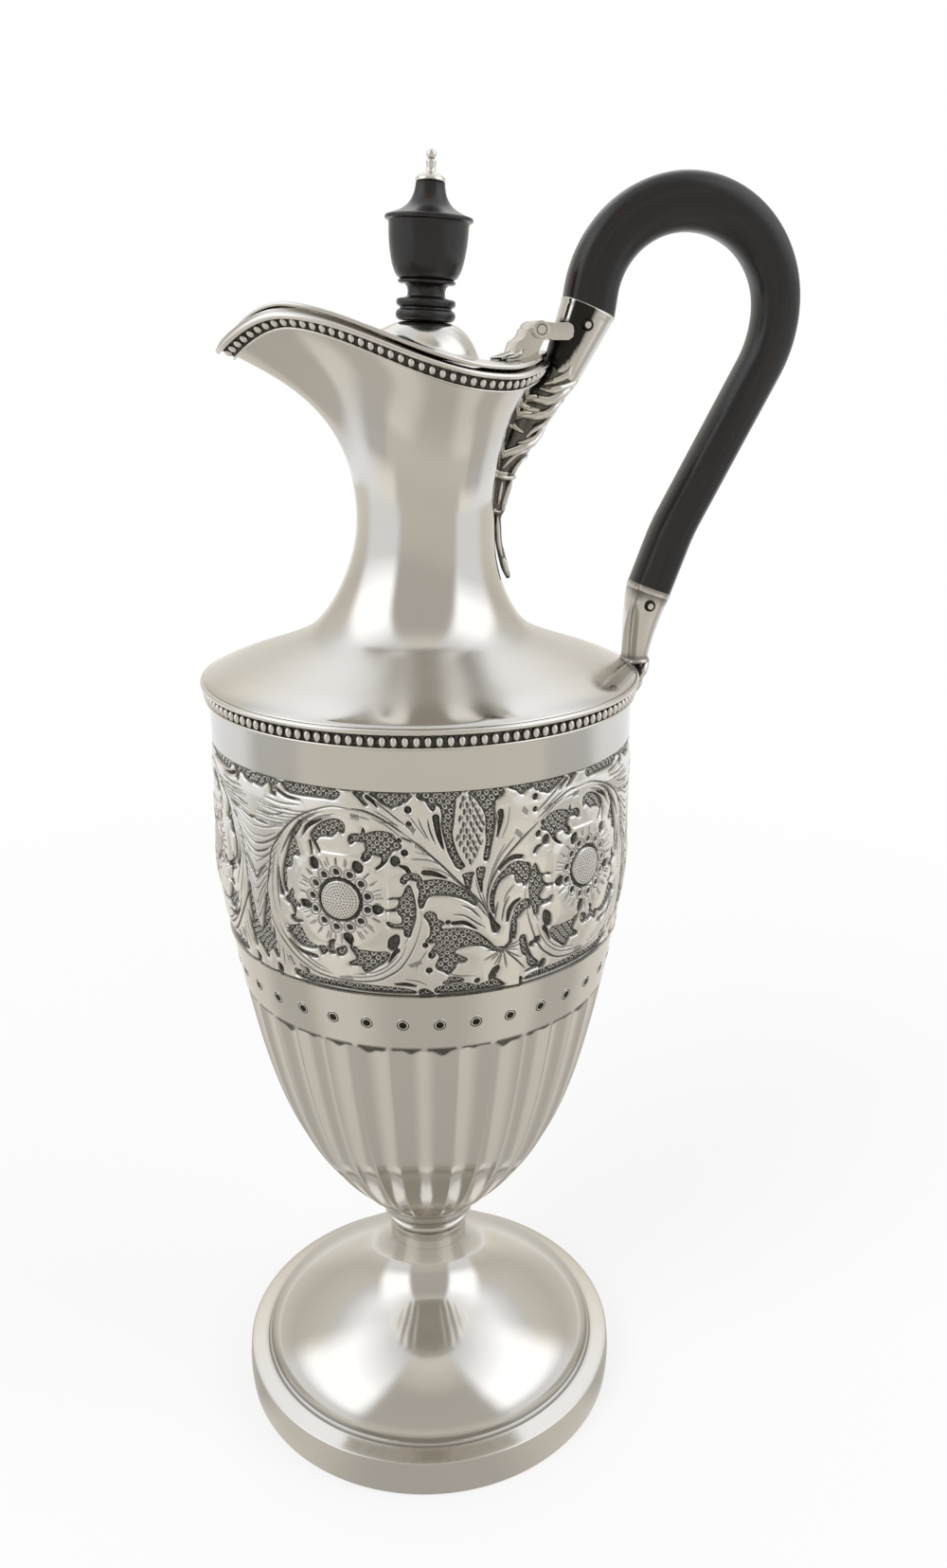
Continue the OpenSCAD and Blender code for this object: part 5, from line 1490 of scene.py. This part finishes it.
def hinge_arm():
    """Moving half: a barrel on the pin, a curved arm down to the lid, and a leaf-shaped foot."""
    x, z = HINGE
    made = [barrel(x, z, KNUCKLE_R, -6.1, 6.1)]
    arm = numbers("29.1,291 28.7,289.6 27.9,287.8 27.5,286.5 27.6,285.6 26.8,285.1 24.4,284.9 21.6,284.7 "
                  "20,285.1 20.9,286.1 21.8,287.2 22.2,288.4 22.7,289.5 23.7,290.1 24.6,291 25.6,292.6")
    made.append(plate(through(arm, 4, closed=True), 11.6))
    for side in (-1, 1):
        curl = [(23.8, 5.2 * side, 287.9), (22.6, 5.9 * side, 286.7), (20.9, 5.2 * side, on_lid(20.9) + 0.9),
                (19.4, 3.9 * side, on_lid(19.4) + 0.6)]
        out = (-0.5, 0.3 * side, 0.8)
        made.append(blade(curl, [0.7, 1.1, 1.0, 0.4], [0.5, 0.6, 0.5, 0.3], out, 12, 0.7))
    leaf = ((24.4, 1.4), (22.0, 0.9), (19.6, 0.6), (17.4, 0.35))
    rib = ((24.0, 2.2), (21.6, 1.5), (19.4, 1.0), (17.4, 0.5))
    for line, half_w, half_t, sides, dark in ((leaf, [4.6, 4.3, 2.9, 0.4], [0.9, 0.75, 0.5, 0.3], 20, 0.6),
                                              (rib, [0.7, 0.6, 0.5, 0.3], [0.5, 0.45, 0.4, 0.2], 12, 0.7)):
        path = [(v, 0, on_lid(v) + h) for v, h in line]
        made.append(blade(path, half_w, half_t, (0, 0, 1), sides, dark))
    return join(made)


# Building
def build():
    solid("foot_band", foot_band(), "jug", "polished_silver", POLISHED, ["foot_rim_band"])
    solid("foot_dome_sheet", foot_dome(), "jug", "polished_silver", POLISHED, ["foot_dome"])
    solid("collar", stem_collar(), "jug", "polished_silver", POLISHED, ["stem_collar"])
    solid("fluted_body", body(), "jug", "polished_silver", POLISHED, ["body_bowl"], weld=0.002)
    for k, (one, normals, punch) in enumerate(frieze_panels()):
        solid(f"frieze_panel_{k + 1}", one, "jug", "chased_silver", CHASED, ["body_bowl"],
              normals=normals, punch=punch)
    solid("eyelets", eyelets(), "jug", "chased_silver", CHASED, weld=0.002)
    solid("shoulder_wires", shoulder_strip(), "jug", "bead_silver", BEADED, ["shoulder_border"], edge=50)
    solid("shoulder_beads", shoulder_beads(), "jug", "bead_silver", BEADED)
    one = neck()
    solid("shoulder_and_neck", one, "jug", "polished_silver", POLISHED, ["shoulder_cover", "neck_and_spout"],
          rubbed=rubbed_root(one[0]))
    solid("lip_wires", lip_strip(), "jug", "bead_silver", BEADED, ["lip_border"], edge=50)
    solid("lip_beads", lip_beads(), "jug", "bead_silver", BEADED)
    solid("upper_socket_shell", upper_socket(), "jug", "polished_silver", POLISHED, ["upper_socket"])
    solid("lower_socket_shell", lower_socket(), "jug", "polished_silver", POLISHED, ["lower_socket"])
    solid("acanthus", neck_leaf(), "jug", "cast_silver", CAST, ["neck_leaf"], edge=60)
    solid("drop_leaf", drop_leaf(), "jug", "cast_silver", CAST, ["shoulder_leaf"], edge=60)
    one, grain = grip()
    handle = solid("grip", one, "jug", "ebony", GRIP_WOOD, ["handle_grip"], edge=50, grain=grain)
    # The wood has no mirror image in the silver
    handle.visible_glossy = False
    solid("hinge_block", hinge_lug(), "jug", "cast_silver", CAST, ["hinge_lug"], bevel=0.25)
    solid("lid_plate", lid(), "lid", "polished_silver", POLISHED, ["lid_cover"], edge=50)
    solid("lid_arm", hinge_arm(), "lid", "cast_silver", CAST, ["lid_hinge_arm"], bevel=0.2)
    solid("urn", urn(), "lid", "ebony", URN_WOOD, ["finial_urn"])
    solid("urn_cap", cap(), "lid", "bead_silver", BEADED, ["finial_cap"], weld=0.002)
    for name in ("upper_socket_pin", "lower_socket_pin", "hinge_pin", "finial_rod", "finial_nut"):
        node = frame["nodes"][name]
        node.data.materials.clear()
        node.data.materials.append(BEADED)


# Studio
CAMERA_AT = (-43.5, -309.7, 288.9)
CAMERA_HEADING = 10.41
CAMERA_PITCH = 18.97
LENS = 29.344


def camera():
    data = bpy.data.cameras.new("camera")
    data.lens = LENS
    data.sensor_width = 36.0
    data.sensor_fit = "AUTO"
    data.clip_start = 0.01
    ob = linked(bpy.data.objects.new("camera", data))
    ob.location = Vector(CAMERA_AT) * MM
    ob.rotation_euler = Euler((math.radians(90 - CAMERA_PITCH), 0, math.radians(-CAMERA_HEADING)), "XYZ")
    bpy.context.scene.camera = ob


def seen_directly(n):
    """1 for rays that the camera, a reflection or a transparent surface sends, else 0."""
    path = n.add("LightPath").outputs
    seen = n.math("MAXIMUM", path["Is Camera Ray"], path["Is Glossy Ray"])
    return n.math("MAXIMUM", seen, path["Is Transmission Ray"])


def polar_grid(radii, sides, heights=None):
    """Rings of points round the axis, with the angle of each from the photograph's camera."""
    a = np.arange(sides) * 360 / sides
    heights = np.zeros(len(radii)) if heights is None else heights
    rings = [np.stack([r * cos_d(a), r * sin_d(a), z + 0 * a], 1) for r, z in zip(radii, heights)]
    phi = (a + VIEW_AT + 180) % 360 - 180
    return np.array(rings), np.broadcast_to(np.abs(phi), (len(radii), sides))


def reflected(name, rings, tones, cool, finish):
    """A mesh of the studio that carries the brightness and tint it shows in reflections."""
    points, faces, _ = tube(rings, wrap=False)
    tint = mix(WARM, COOL, cool[..., None])
    colours = np.concatenate([tones[..., None] * tint, np.ones((*tones.shape, 1))], -1)
    mesh = bpy.data.meshes.new(name)
    mesh.from_pydata(points.tolist(), [], faces)
    layer = mesh.attributes.new("tone", "FLOAT_COLOR", "POINT")
    layer.data.foreach_set("color", colours.astype(np.float32).ravel())
    mesh.materials.append(finish)
    ob = linked(bpy.data.objects.new(name, mesh))
    return ob


WARM = np.array([1.0, 0.965, 0.90])
COOL = np.array([0.97, 1.0, 1.045])


def floor_tone(side, radius):
    """How bright the floor looks in reflections: dimmest near the object and towards the camera."""
    front = np.interp(radius, [0.05, 0.12, 0.3, 0.65, 1.1], [0.56, 0.59, 0.64, 0.77, 0.71])
    rear = np.interp(radius, [0.05, 0.12, 0.3, 0.65, 1.0], [0.60, 0.72, 0.90, 1.0, 1.08])
    stripe = ease(side, 16, 46) * (1 - ease(side, 58, 74))
    close = front * (1 + 0.36 * stripe * (1 - ease(radius, 0.4, 0.6)))
    close = mix(close, rear, ease(side, 92, 112))
    close = close * (1 - 0.13 * ease(side, 62, 70) * (1 - ease(side, 92, 104)) * ease(radius, 0.35, 0.5))
    far = mix(front, 1.12, ease(side, 46, 60))
    return mix(close, far, ease(radius, 0.85, 1.1))


def floor():
    """Pale floor that fades to the white background away from the object, and keeps the object's shadow."""
    n = Nodes(bpy.data.materials.new("pale_floor"))
    diffuse = n.add("BsdfDiffuse", Color=(0.86, 0.86, 0.86, 1))
    white = n.add("Emission", Color=(1, 1, 1, 1), Strength=1.0)
    length = n.add("VectorMath", operation="LENGTH")
    n.link(n.add("TexCoord").outputs["Object"], length.inputs[0])
    fade = n.add("MapRange", interpolation_type="SMOOTHSTEP",
                 From_Min=0.10, From_Max=0.7, To_Min=0.70, To_Max=1.0)
    share = n.math("MULTIPLY", n.joined(fade, length.outputs["Value"]), seen_directly(n))
    plain = n.joined(n.add("MixShader"), share, diffuse.outputs[0], white.outputs[0])
    mirrored = n.joined(n.add("Emission"), n.attribute("tone", "Color"))
    glossy = n.add("LightPath").outputs["Is Glossy Ray"]
    finish = n.end(n.joined(n.add("MixShader"), glossy, plain, mirrored))
    radii = np.array([0.001, 0.03, 0.05, 0.07, 0.10, 0.14, 0.2, 0.3, 0.42, 0.55, 0.7, 0.85, 1.0, 1.2, 1.6,
                      2.5, 4.0])
    rings, side = polar_grid(radii, 180)
    radius = radii[:, None]
    cool = ease(side, 50, 115) * ease(radius, 0.25, 0.8)
    reflected("floor", rings, floor_tone(side, radius), cool, finish)


def studio_tone(side, height):
    """How bright the walls look in reflections: side is the angle from the camera, height the elevation."""
    front = np.interp(height, [0, 14, 24, 62, 78], [0.72, 0.68, 0.60, 0.58, 0.90])
    boxes = np.interp(height, [0, 18, 32, 54, 74], [1.0, 1.0, 1.7, 1.7, 0.95])
    flank = np.interp(height, [0, 20, 42, 56, 72], [0.84, 0.70, 0.84, 1.3, 1.0])
    rear = np.interp(height, [0, 12, 28, 42, 58, 72], [0.98, 0.88, 0.83, 1.28, 1.35, 0.86])
    tone = mix(front, boxes, ease(side, 40, 54))
    tone = mix(tone, flank, ease(side, 98, 116))
    return mix(tone, rear, ease(side, 146, 158))


def studio():
    """Studio walls, seen only in reflections: dim where the camera stands, soft boxes at its sides."""
    n = Nodes(bpy.data.materials.new("studio_walls"))
    finish = n.end(n.joined(n.add("Emission"), n.attribute("tone", "Color")))
    height = np.concatenate([np.arange(0, 30, 1.0), np.arange(30, 90, 3.0)])
    rings, side = polar_grid(1.5 * cos_d(height), 240, 1.5 * sin_d(height))
    height = height[:, None]
    cool = ease(side, 34, 52) * (1 - ease(side, 96, 116) * (1 - ease(height, 34, 48)))
    ob = reflected("studio_walls", rings, studio_tone(side, height), cool, finish)
    for ray in ("camera", "diffuse", "shadow", "transmission", "volume_scatter"):
        setattr(ob, "visible_" + ray, False)


def world():
    """White background, and plain even light."""
    made = bpy.data.worlds.new("studio")
    bpy.context.scene.world = made
    n = Nodes(made, "World")
    plain, white = (n.add("Background", Color=(c, c, c, 1)).outputs[0] for c in (0.8, 1))
    n.end(n.joined(n.add("MixShader"), seen_directly(n), plain, white))


def lamp(name, place, size, power):
    data = bpy.data.lights.new(name, "AREA")
    data.shape = "DISK"
    data.size = size
    data.energy = power
    ob = linked(bpy.data.objects.new(name, data))
    ob.location = place
    way = Vector((0, 0, 0.16)) - Vector(place)
    ob.rotation_euler = way.to_track_quat("-Z", "Y").to_euler()
    ob.visible_glossy = False


build()
camera()
floor()
studio()
world()
lamp("key", (-1.0, -0.7, 1.3), 0.9, 9.0)
lamp("fill", (1.1, -0.5, 1.0), 1.0, 5.0)
bpy.context.scene.view_settings.view_transform = "Standard"
